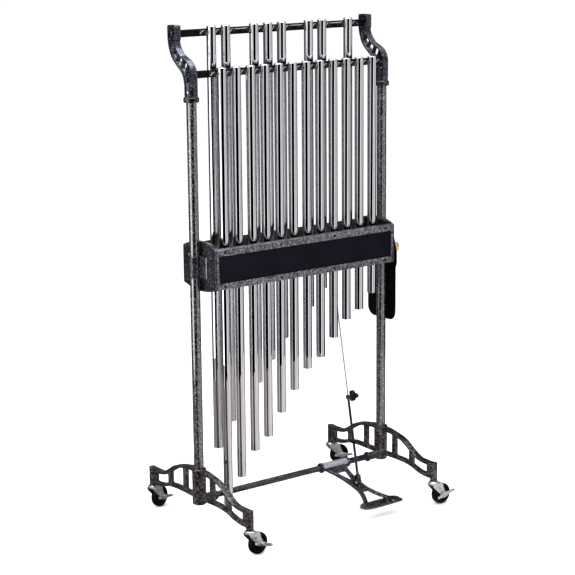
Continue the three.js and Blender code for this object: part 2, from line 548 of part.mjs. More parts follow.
// ------------------------------------------------------------ mallet and pouch
{
  const arc = (cy, cz, r, a0) => Array.from({ length: 5 }, (_, i) => {
    const t = rad(a0 + i * 22.5);
    return [cy + r * Math.cos(t), cz + r * Math.sin(t)];
  });
  const low = (y0, y1, z0, r) => [...arc(y0 + r, z0 + r, r, 180), ...arc(y1 - r, z0 + r, r, 270)];
  // the pocket is two layers sewn together at the edges, so it bulges in the middle
  const bulge = (x0, rim, depth, y0, y1) => {
    const pts = [[x0, y1], [x0, y0]];
    for (let i = 0; i <= 12; i += 1) {
      const t = -1 + i / 6;
      pts.push([rim + depth * (1 - t * t), (y0 + y1) / 2 + (t * (y1 - y0)) / 2]);
    }
    return pts;
  };
  const pocket = common(
    slabX([...low(-49, 104, 628, 34), [104, 821], [-49, 821]], 420, 470),
    slabZ(bulge(428.5, 432.3, 27, -49, 104), 620, 830),
  );
  const back = slabX([
    ...low(-49, 104, 628, 34), [104, 826], [108, 840], [108, 884], [90, 955], [72, 984], [48, 992], [6, 992], [-16, 982], [-33, 955], [-55, 884],
    [-55, 840], [-49, 826],
  ], 428.5, 431.8);
  const inside = common(
    slabX([...low(-45, 100, 633, 31), [100, 840], [-45, 840]], 420, 470),
    slabZ(bulge(431.8, 432, 24, -45, 100), 620, 850),
  );
  add('mallet_pouch', cut(union(pocket, back), inside), 'cloth');

  const headX = 452;
  const headZ = 894;
  const handleY = 12.4;
  const head = turned([[0, -38], [16, -38], [19, -35], [19, 35], [16, 38], [0, 38]], 12).rotateX(Math.PI / 2)
    .translate(headX, handleY, headZ);
  const handle = cylZ(5.3, 633.6, headZ + 22, 8, headX - 4, handleY);
  add('mallet', union(head, handle), 'hide');
}

// the frame's origin is under the middle of the whole object's box
root.updateMatrixWorld(true);
const whole = new THREE.Box3().setFromObject(root);
root.position.set(-(whole.min.x + whole.max.x) / 2, -(whole.min.y + whole.max.y) / 2, -whole.min.z);

export default root;
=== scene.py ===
import math

import bmesh
import bpy
import numpy as np
from mathutils import Matrix, Vector
from mathutils.geometry import tessellate_polygon


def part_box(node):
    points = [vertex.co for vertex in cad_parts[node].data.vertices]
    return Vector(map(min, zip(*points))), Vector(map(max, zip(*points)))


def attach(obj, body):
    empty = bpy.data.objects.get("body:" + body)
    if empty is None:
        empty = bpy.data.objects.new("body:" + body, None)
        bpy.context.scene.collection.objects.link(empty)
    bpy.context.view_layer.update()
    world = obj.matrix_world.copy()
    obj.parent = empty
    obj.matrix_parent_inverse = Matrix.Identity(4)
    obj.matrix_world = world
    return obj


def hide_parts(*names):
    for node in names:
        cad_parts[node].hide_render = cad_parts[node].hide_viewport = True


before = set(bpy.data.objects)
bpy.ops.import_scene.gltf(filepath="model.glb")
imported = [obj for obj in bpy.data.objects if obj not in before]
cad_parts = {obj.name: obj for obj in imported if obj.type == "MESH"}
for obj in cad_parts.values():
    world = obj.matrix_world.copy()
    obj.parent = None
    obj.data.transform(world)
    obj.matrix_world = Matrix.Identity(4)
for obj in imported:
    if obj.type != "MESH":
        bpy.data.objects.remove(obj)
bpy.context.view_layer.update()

# Drawing units are millimetres: X from the middle between the posts, Y from the posts' plane
# towards the back, Z from the floor. PLACE carries them into the frame.
left_lo, left_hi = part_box("left_post")
right_lo, right_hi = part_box("right_post")
OX = (left_lo[0] + right_hi[0]) / 2
OY = (left_lo[1] + left_hi[1]) / 2
PLACE = Matrix.Translation((OX, OY, 0)) @ Matrix.Scale(0.001, 4)

POST_X, POST_R, LEG_Y = 404.0, 17.0, 295.0
BELL_R, BELL_WALL = 15.875, 1.4
FIRST_X, PITCH = -305.1, 57.97
ROW_Y, ROW_TOP = (-32.2, 65.9), (1587.0, 1716.0)
HOLE_DROP, CORD_RISE, PEG_R, CORD_R = 27.0, 13.0, 4.0, 1.5
RAIL_Z, RAIL_Y, RAIL_H, RAIL_T, RAIL_HALF = (1567.0, 1694.0), (-6.0, 92.1), 24.0, 12.0, 391.7
BAR_Z, BAR_R, BAR_HALF = 118.6, 11.0, 378.0
BOX_HALF = 380.0
PEDAL_X = 183.6
TRAIL = 35.0
FRONT = [("c5", 0), ("d5", 2), ("e5", 4), ("f5", 5), ("g5", 7), ("a5", 9), ("b5", 11), ("c6", 12), ("d6", 14), ("e6", 16), ("f6", 17), ("g6", 19)]
REAR = [("cs5", 1, 0.5), ("ds5", 3, 1.5), ("fs5", 6, 3.5), ("gs5", 8, 4.5), ("as5", 10, 5.5), ("cs6", 13, 7.5), ("ds6", 15, 8.5), ("fs6", 18, 10.5)]
# each corner: side, end, way the wheel trails, tilt of the brake's rocker, in degrees
CORNERS = [("front_left", -1, -1, 8.0, -16.0), ("rear_left", -1, 1, 20.0, -7.0), ("front_right", 1, -1, 1.0, 13.0), ("rear_right", 1, 1, -8.0, -5.0)]

# ------------------------------------------------------------------ materials


class Mat:
    """A node material with its Principled shader, built up by small calls."""

    def __init__(self, name, **sockets):
        self.m = bpy.data.materials.new(name)
        self.m.use_nodes = True
        self.t = self.m.node_tree
        self.t.nodes.clear()
        self.out = self.t.nodes.new("ShaderNodeOutputMaterial")
        self.b = self.t.nodes.new("ShaderNodeBsdfPrincipled")
        self.t.links.new(self.b.outputs[0], self.out.inputs[0])
        self.coord = self.t.nodes.new("ShaderNodeTexCoord").outputs["Object"]
        for k, v in sockets.items():
            k = k.replace("_", " ")
            self.b.inputs[k].default_value = (*v, 1) if isinstance(v, tuple) and len(v) == 3 and "Color" in k + " Tint" or k.endswith("Tint") else v

    def node(self, kind, settings=None, **sockets):
        n = self.t.nodes.new("ShaderNode" + kind)
        for k, v in (settings or {}).items():
            setattr(n, k, v)
        for k, v in sockets.items():
            s = n.inputs[k.replace("_", " ")]
            if isinstance(v, bpy.types.NodeSocket):
                self.t.links.new(v, s)
            else:
                s.default_value = v
        return n

    def stretch(self, x, y, z, source=None):
        n = self.node("Mapping", {"vector_type": "POINT"}, Vector=source or self.coord)
        n.inputs["Scale"].default_value = (x, y, z)
        return n.outputs[0]

    def noise(self, scale, detail=2.0, rough=0.5, vector=None, distortion=0.0):
        return self.node("TexNoise", None, Vector=vector or self.coord, Scale=scale, Detail=detail, Roughness=rough, Distortion=distortion).outputs[0]

    def cells(self, scale, vector=None, feature="F1", random=1.0):
        return self.node("TexVoronoi", {"feature": feature}, Vector=vector or self.coord, Scale=scale, Randomness=random).outputs["Distance"]

    def ramp(self, value, stops, smooth=False):
        n = self.node("ValToRGB", None, Fac=value)
        e = n.color_ramp.elements
        n.color_ramp.interpolation = "EASE" if smooth else "LINEAR"
        while len(e) < len(stops):
            e.new(1.0)
        for el, (p, c) in zip(e, stops):
            el.position = p
            el.color = (*c, 1) if isinstance(c, tuple) else (c, c, c, 1)
        return n.outputs["Color"]

    def span(self, value, lo, hi, a=0.0, b=1.0):
        n = self.node("MapRange", {"clamp": True}, Value=value)
        for k, v in (("From Min", lo), ("From Max", hi), ("To Min", a), ("To Max", b)):
            n.inputs[k].default_value = v
        return n.outputs[0]

    def math(self, op, a, b=None, clamp=False):
        n = self.t.nodes.new("ShaderNodeMath")
        n.operation, n.use_clamp = op, clamp
        for i, v in enumerate((a, b)):
            if v is None:
                continue
            if isinstance(v, bpy.types.NodeSocket):
                self.t.links.new(v, n.inputs[i])
            else:
                n.inputs[i].default_value = v
        return n.outputs[0]

    def mix(self, fac, a, b, blend="MIX"):
        n = self.t.nodes.new("ShaderNodeMix")
        n.data_type, n.blend_type = "RGBA", blend
        for k, v in ((0, fac), (6, a), (7, b)):
            if isinstance(v, bpy.types.NodeSocket):
                self.t.links.new(v, n.inputs[k])
            else:
                n.inputs[k].default_value = (*v, 1) if isinstance(v, tuple) else v
        return n.outputs[2]

    def axis(self, i, source=None):
        n = self.node("SeparateXYZ", None, Vector=source or self.coord)
        return n.outputs[i]

    def set(self, **links):
        for k, v in links.items():
            self.t.links.new(v, self.b.inputs[k.replace("_", " ")])
        return self

    def bump(self, height, strength, distance, then=None):
        n = self.node("Bump", None, Height=height, Strength=strength, Distance=distance)
        if then is not None:
            self.t.links.new(then, n.inputs["Normal"])
        return n.outputs[0]


def chrome():
    m = Mat("chrome_plate", Metallic=1.0)
    streak = m.noise(3.0, 3.0, 0.6, m.stretch(90, 90, 5))
    smear = m.noise(14.0, 3.0, 0.55)
    m.set(Base_Color=m.ramp(smear, [(0.3, (0.88, 0.88, 0.90)), (0.7, (0.94, 0.94, 0.95))]))
    m.set(Roughness=m.span(m.math("ADD", m.math("MULTIPLY", streak, 0.5), m.math("MULTIPLY", smear, 0.5)), 0.3, 0.7, 0.006, 0.03))
    return m.m


def hammertone(name, dark, mid, light, cell=255.0, metal=0.85, coat=0.7, rough=0.30, bump=0.6, wash=0.25, gloss=2.3, ripple=0.14):
    """Enamel that dries into small domed cells, each with its own tone."""
    m = Mat(name, Metallic=metal, Coat_Weight=coat, Coat_Roughness=0.05, Coat_IOR=gloss)
    wander = m.node("TexNoise", None, Vector=m.coord, Scale=160.0, Detail=2.0)
    off = m.node("VectorMath", {"operation": "SCALE"}, Vector=wander.outputs["Color"])
    off.inputs["Scale"].default_value = 0.0045
    where = m.node("VectorMath", {"operation": "ADD"})
    m.t.links.new(m.coord, where.inputs[0])
    m.t.links.new(off.outputs[0], where.inputs[1])
    big = m.node("TexVoronoi", {"feature": "F1"}, Vector=where.outputs[0], Scale=cell)
    dome = m.span(big.outputs["Distance"], 0.12, 0.72, 1.0, 0.0)
    tone = m.axis(0, big.outputs["Color"])
    patch = m.noise(26.0, 3.0, 0.6)
    t = m.math("ADD", m.math("MULTIPLY", tone, 0.78), m.math("MULTIPLY", dome, 0.22))
    colour = m.ramp(t, [(0.22, dark), (0.55, mid), (0.88, light)])
    colour = m.mix(m.span(patch, 0.35, 0.7, 0.0, wash), colour, mid)
    m.set(Base_Color=colour)
    m.set(Roughness=m.span(t, 0.15, 0.9, rough + 0.12, rough - 0.08))
    n = m.bump(m.math("ADD", dome, m.math("MULTIPLY", tone, 0.5)), bump, 0.0012)
    m.set(Normal=n)
    m.t.links.new(m.bump(dome, ripple, 0.0009), m.b.inputs["Coat Normal"])
    return m.m


def black_enamel(name="black_enamel", base=0.002, rough=0.36, coat=0.0, spec=0.08):
    m = Mat(name, Coat_Weight=coat, Coat_Roughness=0.12)
    m.b.inputs["Specular IOR Level"].default_value = spec
    n = m.noise(60.0, 4.0, 0.6)
    m.set(Base_Color=m.ramp(n, [(0.3, (base * 0.7, base * 0.7, base * 0.75)), (0.75, (base * 1.8, base * 1.75, base * 1.9))]))
    m.set(Roughness=m.span(m.noise(35.0, 3.0), 0.3, 0.7, rough - 0.07, rough + 0.1))
    m.set(Normal=m.bump(m.noise(700.0, 2.0), 0.10, 0.0003))
    return m.m


def panel_black():
    m = Mat("panel_black")
    m.b.inputs["Specular IOR Level"].default_value = 0.03
    grain = m.noise(5.0, 4.0, 0.65, m.stretch(900, 900, 14))
    cloud = m.noise(9.0, 3.0, 0.6)
    m.set(Base_Color=m.ramp(m.math("ADD", m.math("MULTIPLY", grain, 0.45), m.math("MULTIPLY", cloud, 0.55)), [(0.3, (0.0025, 0.0025, 0.005)), (0.7, (0.0065, 0.0065, 0.0105))]))
    m.set(Roughness=m.span(cloud, 0.3, 0.7, 0.55, 0.7))
    m.set(Normal=m.bump(grain, 0.08, 0.0003))
    return m.m


def felt(name, dark, light):
    m = Mat(name, Roughness=0.95, Sheen_Weight=0.12, Sheen_Roughness=0.5)
    m.b.inputs["Specular IOR Level"].default_value = 0.15
    hair = m.noise(1300.0, 4.0, 0.7, None, 1.5)
    tuft = m.noise(230.0, 4.0, 0.65, None, 0.8)
    worn = m.noise(24.0, 3.0, 0.6)
    c = m.ramp(m.math("ADD", m.math("MULTIPLY", hair, 0.5), m.math("MULTIPLY", tuft, 0.5)), [(0.32, dark), (0.68, light)])
    c = m.mix(m.span(worn, 0.4, 0.75, 0.0, 0.4), c, tuple(x * 0.6 for x in dark))
    m.set(Base_Color=c)
    m.set(Normal=m.bump(m.math("ADD", hair, tuft), 0.6, 0.0009))
    return m.m


def plated(name, low, high, rough, streaks=(30, 30, 30), grime=0.35):
    m = Mat(name, Metallic=1.0)
    n = m.noise(8.0, 4.0, 0.6, m.stretch(*streaks))
    blot = m.noise(70.0, 4.0, 0.6)
    c = m.ramp(n, [(0.3, low), (0.7, high)])
    c = m.mix(m.span(blot, 0.52, 0.8, 0.0, grime), c, tuple(x * 0.35 for x in low))
    m.set(Base_Color=c)
    m.set(Roughness=m.span(m.math("ADD", m.math("MULTIPLY", n, 0.5), m.math("MULTIPLY", blot, 0.5)), 0.3, 0.7, rough - 0.07, rough + 0.14))
    m.set(Normal=m.bump(n, 0.08, 0.0003))
    return m.m


def rubber():
    m = Mat("wheel_rubber")
    m.b.inputs["Specular IOR Level"].default_value = 0.1
    n = m.noise(110.0, 4.0, 0.6)
    dust = m.noise(30.0, 3.0, 0.6)
    c = m.ramp(n, [(0.3, (0.0008, 0.0008, 0.0009)), (0.7, (0.0020, 0.0020, 0.0023))])
    m.set(Base_Color=m.mix(m.span(dust, 0.55, 0.85, 0.0, 0.2), c, (0.012, 0.012, 0.012)))
    m.set(Roughness=m.span(n, 0.3, 0.7, 0.36, 0.56))
    m.set(Normal=m.bump(m.noise(900.0, 3.0), 0.12, 0.0003))
    return m.m


def moulded(name, base, rough=0.3, spec=0.3):
    m = Mat(name)
    m.b.inputs["Specular IOR Level"].default_value = spec
    n = m.noise(50.0, 3.0)
    m.set(Base_Color=m.ramp(n, [(0.3, tuple(x * 0.75 for x in base)), (0.7, tuple(x * 1.3 for x in base))]))
    m.set(Roughness=m.span(n, 0.3, 0.7, rough - 0.05, rough + 0.1))
    m.set(Normal=m.bump(m.noise(1500.0, 2.0), 0.12, 0.0002))
    return m.m


def cloth():
    m = Mat("pouch_nylon")
    m.b.inputs["Specular IOR Level"].default_value = 0.06
    warp = m.node("TexWave", {"wave_type": "BANDS", "bands_direction": "Y"}, Vector=m.coord, Scale=330.0, Distortion=0.6, Detail=1.0)
    weft = m.node("TexWave", {"wave_type": "BANDS", "bands_direction": "Z"}, Vector=m.coord, Scale=330.0, Distortion=0.6, Detail=1.0)
    over = m.cells(520.0, None, "F1", 0.0)
    weave = m.math("MULTIPLY", warp.outputs[1], weft.outputs[1])
    rub = m.noise(22.0, 4.0, 0.6)
    c = m.ramp(m.math("ADD", m.math("MULTIPLY", weave, 0.7), m.math("MULTIPLY", over, 0.3)), [(0.05, (0.0006, 0.0006, 0.0008)), (0.7, (0.0026, 0.0026, 0.0032))])
    m.set(Base_Color=m.mix(m.span(rub, 0.5, 0.8, 0.0, 0.4), c, (0.0036, 0.0036, 0.0044)))
    m.set(Roughness=m.span(weave, 0.0, 0.6, 0.78, 0.58))
    m.set(Normal=m.bump(weave, 0.5, 0.0005, m.bump(rub, 0.15, 0.004)))
    return m.m


def rawhide(centre):
    """Rolled hide: turns of the roll show as rings round the head's axis."""
    m = Mat("rawhide", Roughness=0.6)
    m.b.inputs["Specular IOR Level"].default_value = 0.35
    shift = m.node("VectorMath", {"operation": "SUBTRACT"})
    m.t.links.new(m.coord, shift.inputs[0])
    shift.inputs[1].default_value = centre
    flat = m.stretch(1, 0.02, 1, shift.outputs[0])
    length = m.node("VectorMath", {"operation": "LENGTH"})
    wob = m.noise(60.0, 3.0)
    m.t.links.new(flat, length.inputs[0])
    turn = m.math("SINE", m.math("ADD", m.math("MULTIPLY", length.outputs["Value"], 3300.0), m.math("MULTIPLY", wob, 3.0)))
    tone = m.noise(130.0, 5.0, 0.65)
    c = m.ramp(tone, [(0.28, (0.20, 0.11, 0.045)), (0.5, (0.42, 0.27, 0.13)), (0.75, (0.58, 0.42, 0.24))])
    m.set(Base_Color=m.mix(m.span(turn, 0.2, 1.0, 0.0, 0.45), c, (0.14, 0.075, 0.03)))
    m.set(Normal=m.bump(m.math("ADD", m.math("MULTIPLY", turn, 0.6), tone), 0.4, 0.0006))
    return m.m


def wood():
    m = Mat("handle_wood", Coat_Weight=0.25, Coat_Roughness=0.25)
    grain = m.noise(5.0, 5.0, 0.6, m.stretch(160, 160, 9), 1.2)
    m.set(Base_Color=m.ramp(grain, [(0.3, (0.30, 0.16, 0.07)), (0.55, (0.50, 0.31, 0.15)), (0.75, (0.62, 0.43, 0.24))]))
    m.set(Roughness=m.span(grain, 0.3, 0.7, 0.34, 0.5))
    m.set(Normal=m.bump(grain, 0.12, 0.0004))
    return m.m


def braid():
    m = Mat("braided_cord", Sheen_Weight=0.2)
    w = m.node("TexWave", {"wave_type": "BANDS", "bands_direction": "DIAGONAL"}, Vector=m.coord, Scale=420.0, Distortion=1.0, Detail=2.0)
    m.set(Base_Color=m.ramp(w.outputs[1], [(0.1, (0.10, 0.095, 0.085)), (0.8, (0.36, 0.345, 0.31))]))
    m.set(Roughness=m.span(w.outputs[1], 0.0, 1.0, 0.8, 0.55))
    m.set(Normal=m.bump(w.outputs[1], 0.5, 0.0004))
    return m.m


CHROME = chrome()
HAMMER = hammertone("dark_hammertone", (0.001, 0.0008, 0.0009), (0.020, 0.015, 0.0175), (0.36, 0.30, 0.325), 255.0, 0.85, 0.3, wash=0.2)
POST_HAMMER = hammertone("post_hammertone", (0.001, 0.0008, 0.0009), (0.014, 0.011, 0.012), (0.42, 0.36, 0.39), 262.0, 0.85, 0.9, gloss=3.0, ripple=0.05, wash=0.15)
GREY_HAMMER = hammertone("grey_hammertone", (0.012, 0.012, 0.015), (0.13, 0.125, 0.14), (0.58, 0.56, 0.60), 300.0, 0.85, 0.25, wash=0.3)
SLEEVE_HAMMER = hammertone("sleeve_hammertone", (0.24, 0.24, 0.28), (0.42, 0.42, 0.48), (0.64, 0.64, 0.72), 265.0, 0.6, 0.4, ripple=0.05)
BLUE_HAMMER = hammertone("slate_hammertone", (0.001, 0.001, 0.0015), (0.015, 0.015, 0.021), (0.19, 0.19, 0.24), 285.0, 0.85, 0.32, wash=0.25)
NAVY_HAMMER = hammertone("navy_hammertone", (0.0008, 0.0008, 0.0014), (0.005, 0.005, 0.009), (0.11, 0.11, 0.17), 240.0, 0.75, 0.45, 0.22, 0.5, wash=0.15, gloss=1.9)
BLACK = black_enamel()
ROD_BLACK = black_enamel("rod_enamel", 0.006, 0.18, 0.7, 0.6)
PANEL = panel_black()
FELT = felt("brown_felt", (0.012, 0.007, 0.005), (0.085, 0.050, 0.034))
# a lighter tan copy of the brown felt for the left edge strip: painted light on the same felt as the right strip
PAINTED_LIT_FELT = felt("edge_felt", (0.20, 0.12, 0.075), (0.42, 0.29, 0.20))
NICKEL = plated("nickel_plate", (0.62, 0.625, 0.64), (0.98, 0.985, 1.0), 0.36, (85, 85, 85), 0.4)
ZINC = plated("zinc_plate", (0.62, 0.64, 0.65), (0.82, 0.84, 0.85), 0.24, (60, 60, 6), 0.12)
BRIGHT_ZINC = plated("bright_zinc", (0.46, 0.50, 0.50), (0.60, 0.65, 0.65), 0.46, (60, 60, 6), 0.08)
ALLOY = plated("mill_aluminium", (0.42, 0.43, 0.44), (0.60, 0.61, 0.62), 0.36, (4, 90, 90), 0.2)
STEEL = plated("bright_bolt", (0.62, 0.62, 0.62), (0.85, 0.85, 0.84), 0.2, (40, 40, 40), 0.1)
RUBBER = rubber()
PLASTIC = moulded("black_plastic", (0.004, 0.004, 0.0045))
CLOTH = cloth()
WOOD = wood()
BRAID = braid()

# -------------------------------------------------------------------- shapes

AXIS_X = Matrix(((0, 0, 1, 0), (0, 1, 0, 0), (-1, 0, 0, 0), (0, 0, 0, 1)))
AXIS_Y = Matrix(((1, 0, 0, 0), (0, 0, 1, 0), (0, -1, 0, 0), (0, 0, 0, 1)))
MIRROR = Matrix.Scale(-1, 4, (1, 0, 0))


class Shape:
    """Closed shells gathered into one mesh, with a material number for each face."""

    def __init__(self):
        self.v, self.f, self.k = [], [], []

    def add(self, part, at=None, k=0):
        verts, faces = part
        base = len(self.v)
        self.v += [tuple(at @ Vector(p)) for p in verts] if at is not None else [tuple(p) for p in verts]
        self.f += [tuple(base + i for i in face) for face in faces]
        self.k += [k] * len(faces)
        return self


def lathe(profile, n=48, closed=False):
    """Turns [radius, height] pairs about Z. A radius of 0 is a pole."""
    rows, verts, faces = [], [], []
    for r, z in profile:
        if r < 1e-6:
            rows.append([len(verts)])
            verts.append((0, 0, z))
        else:
            rows.append(list(range(len(verts), len(verts) + n)))
            verts += [(r * math.cos(2 * math.pi * i / n), r * math.sin(2 * math.pi * i / n), z) for i in range(n)]
    pairs = list(zip(rows, rows[1:])) + ([(rows[-1], rows[0])] if closed else [])
    for a, b in pairs:
        if len(a) == 1 and len(b) == 1:
            continue
        for i in range(n):
            j = (i + 1) % n
            if len(a) == 1:
                faces.append((a[0], b[j], b[i]))
            elif len(b) == 1:
                faces.append((a[i], a[j], b[0]))
            else:
                faces.append((a[i], a[j], b[j], b[i]))
    return verts, faces


def rounded(profile, corners, steps=4):
    """Replaces the numbered corners of an open profile by arcs of the radius given."""
    out = []
    for i, p in enumerate(profile):
        if i not in corners:
            out.append(tuple(p))
            continue
        r = corners[i]
        p, a, b = Vector(p), Vector(profile[i - 1]), Vector(profile[(i + 1) % len(profile)])
        u, w = (a - p), (b - p)
        turn = u.angle(w)
        d = min(r / math.tan(turn / 2), u.length * 0.49, w.length * 0.49)
        r = d * math.tan(turn / 2)
        s, e = p + u.normalized() * d, p + w.normalized() * d
        c = p + (u.normalized() + w.normalized()).normalized() * (r / math.sin(turn / 2))
        a0, a1 = math.atan2(*(s - c).yx), math.atan2(*(e - c).yx)
        da = (a1 - a0 + math.pi) % (2 * math.pi) - math.pi
        out += [(c.x + r * math.cos(a0 + da * t / steps), c.y + r * math.sin(a0 + da * t / steps)) for t in range(steps + 1)]
    return out


def from_bmesh(bm):
    bm.verts.index_update()
    out = [tuple(v.co) for v in bm.verts], [tuple(v.index for v in f.verts) for f in bm.faces]
    bm.free()
    return out


def rbox(x0, x1, y0, y1, z0, z1, r=1.0, seg=3):
    bm = bmesh.new()
    bmesh.ops.create_cube(bm, size=1)
    for v in bm.verts:
        v.co = Vector(((x0 + x1) / 2 + v.co.x * (x1 - x0), (y0 + y1) / 2 + v.co.y * (y1 - y0), (z0 + z1) / 2 + v.co.z * (z1 - z0)))
    if r:
        bmesh.ops.bevel(bm, geom=list(bm.edges), offset=r, segments=seg, profile=0.5, affect="EDGES", clamp_overlap=True)
    return from_bmesh(bm)


def plate(outer, c0, c1, axis, holes=(), r=0.0, seg=3):
    """An outline with holes, thick along an axis, with its rims rounded."""
    loops = [list(outer)] + [list(h) for h in holes]
    flat = [p for loop in loops for p in loop]
    put = {"x": lambda a, b, c: (c, a, b), "y": lambda a, b, c: (a, c, b), "z": lambda a, b, c: (a, b, c)}[axis]
    bm = bmesh.new()
    low = [bm.verts.new(put(a, b, c0)) for a, b in flat]
    high = [bm.verts.new(put(a, b, c1)) for a, b in flat]
    for tri in tessellate_polygon([[Vector((a, b, 0)) for a, b in loop] for loop in loops]):
        for side in (low, high):
            try:
                bm.faces.new([side[i] for i in tri])
            except ValueError:
                pass
    base, rims = 0, []
    for loop in loops:
        n = len(loop)
        for i in range(n):
            a, b = base + i, base + (i + 1) % n
            bm.faces.new((low[a], low[b], high[b], high[a]))
            rims += [(low[a], low[b]), (high[a], high[b])]
        base += n
    bmesh.ops.recalc_face_normals(bm, faces=bm.faces)
    if r:
        edges = [bm.edges.get(p) for p in rims]
        bmesh.ops.bevel(bm, geom=[e for e in edges if e], offset=r, segments=seg, profile=0.5, affect="EDGES", clamp_overlap=True)
    return from_bmesh(bm)


def smooth_line(points, step=5.0, closed=False):
    """A Catmull-Rom line through the points, with a point about every step."""
    p = [Vector(q) for q in points]
    n = len(p)
    out = []
    for i in range(n if closed else n - 1):
        a, b, c, d = (p[(i + k) % n] if closed else p[min(max(i + k, 0), n - 1)] for k in (-1, 0, 1, 2))
        m = max(1, round((c - b).length / step))
        for j in range(m):
            t = j / m
            out.append(0.5 * ((2 * b) + (c - a) * t + (2 * a - 5 * b + 4 * c - d) * t * t + (3 * b - a - 3 * c + d) * t ** 3))
    if not closed:
        out.append(p[-1])
    return [tuple(q) for q in out]


def tube(points, r, sides=10, taper=None):
    """A round tube along points, with closed ends."""
    p = [Vector(q) for q in points]
    n = len(p)
    verts, faces = [], []
    up = None
    for i in range(n):
        t = (p[min(i + 1, n - 1)] - p[max(i - 1, 0)]).normalized()
        if up is None:
            up = t.orthogonal().normalized()
        up = (up - t * up.dot(t)).normalized()
        side = t.cross(up)
        ri = r if taper is None else r * taper(i / (n - 1))
        verts += [p[i] + (up * math.cos(2 * math.pi * j / sides) + side * math.sin(2 * math.pi * j / sides)) * ri for j in range(sides)]
    for i in range(n - 1):
        for j in range(sides):
            k = (j + 1) % sides
            faces.append((i * sides + j, i * sides + k, (i + 1) * sides + k, (i + 1) * sides + j))
    faces.append(tuple(range(sides))[::-1])
    faces.append(tuple((n - 1) * sides + j for j in range(sides)))
    return verts, faces


def ring(r, x=0.0, y=0.0, n=32, phase=0.0):
    return [(x + r * math.cos(phase + 2 * math.pi * i / n), y + r * math.sin(phase + 2 * math.pi * i / n)) for i in range(n)]


def disc(r, z0, z1, n=48, edge=0.8):
    return lathe(rounded([(0, z0), (r, z0), (r, z1), (0, z1)], {1: edge, 2: edge}, 3), n)


def hex_bolt(af, h, edge=0.7):
    return plate(ring(af / math.sqrt(3), n=6), 0, h, "z", (), edge, 2)


def mesh_of(name, shape):
    me = bpy.data.meshes.new(name)
    me.from_pydata(shape.v, [], shape.f)
    me.update()
    return me


def helper(shape, name="helper"):
    o = bpy.data.objects.new(name, mesh_of(name, shape))
    bpy.context.scene.collection.objects.link(o)
    return o


def outward(me):
    bm = bmesh.new()
    bm.from_mesh(me)
    bmesh.ops.remove_doubles(bm, verts=bm.verts, dist=1e-5)
    bmesh.ops.recalc_face_normals(bm, faces=bm.faces)
    bm.to_mesh(me)
    bm.free()


def baked(o):
    """The mesh of an object with its modifiers applied. The object goes."""
    dg = bpy.context.evaluated_depsgraph_get()
    me = bpy.data.meshes.new_from_object(o.evaluated_get(dg))
    bpy.data.objects.remove(o, do_unlink=True)
    return me


def carve(me, cutters, name="cut"):
    o = bpy.data.objects.new(name, me)
    bpy.context.scene.collection.objects.link(o)
    tools = []
    for shape in cutters:
        c = helper(shape, name + "_tool")
        outward(c.data)
        tools.append(c)
        mod = o.modifiers.new("cut", "BOOLEAN")
        mod.operation, mod.object, mod.solver = "DIFFERENCE", c, "MANIFOLD"
    out = baked(o)
    for c in tools:
        bpy.data.objects.remove(c, do_unlink=True)
    return out


def casting(shape, voxel=1.3, rounds=5, keep=0.35, cutters=(), name="casting"):
    """One poured skin over overlapping shells: its inner corners fill and its edges round."""
    o = helper(shape, name)
    outward(o.data)
    m = o.modifiers.new("skin", "REMESH")
    m.mode, m.voxel_size = "VOXEL", voxel
    m = o.modifiers.new("soft", "SMOOTH")
    m.factor, m.iterations = 0.5, rounds
    me = baked(o)
    if cutters:
        me = carve(me, cutters, name)
    o = bpy.data.objects.new(name, me)
    bpy.context.scene.collection.objects.link(o)
    m = o.modifiers.new("fewer", "DECIMATE")
    m.ratio = keep
    return baked(o)


def piece(name, what, mats, body, replaces=(), sharp=35.0, mirror=False, flip=False):
    """Makes an object of the model from a Shape or a mesh in drawing units, riding on a body."""
    me = mesh_of(name, what) if isinstance(what, Shape) else what
    me.name = name
    if mirror:
        me.transform(MIRROR)
    me.transform(PLACE)
    bm = bmesh.new()
    bm.from_mesh(me)
    bmesh.ops.recalc_face_normals(bm, faces=bm.faces)
    bm.to_mesh(me)
    bm.free()
    me.materials.clear()
    for m in mats if isinstance(mats, (list, tuple)) else [mats]:
        me.materials.append(m)
    if isinstance(what, Shape) and len(me.polygons) == len(what.k):
        me.polygons.foreach_set("material_index", what.k)
    me.polygons.foreach_set("use_smooth", [True] * len(me.polygons))
    me.set_sharp_from_angle(angle=math.radians(sharp))
    me.update()
    o = bpy.data.objects.new(name, me)
    bpy.context.scene.collection.objects.link(o)
    if body:
        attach(o, body)
    if replaces:
        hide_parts(*([replaces] if isinstance(replaces, str) else replaces))
    return o


def dress(node, mat):
    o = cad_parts[node]
    for s in o.material_slots:
        s.material = mat


def move(x=0.0, y=0.0, z=0.0):
    return Matrix.Translation((x, y, z))


# --------------------------------------------------------------------- bells


def bell_length(note):
    return 1500.0 * 2 ** (-note / 24 * 1.054)


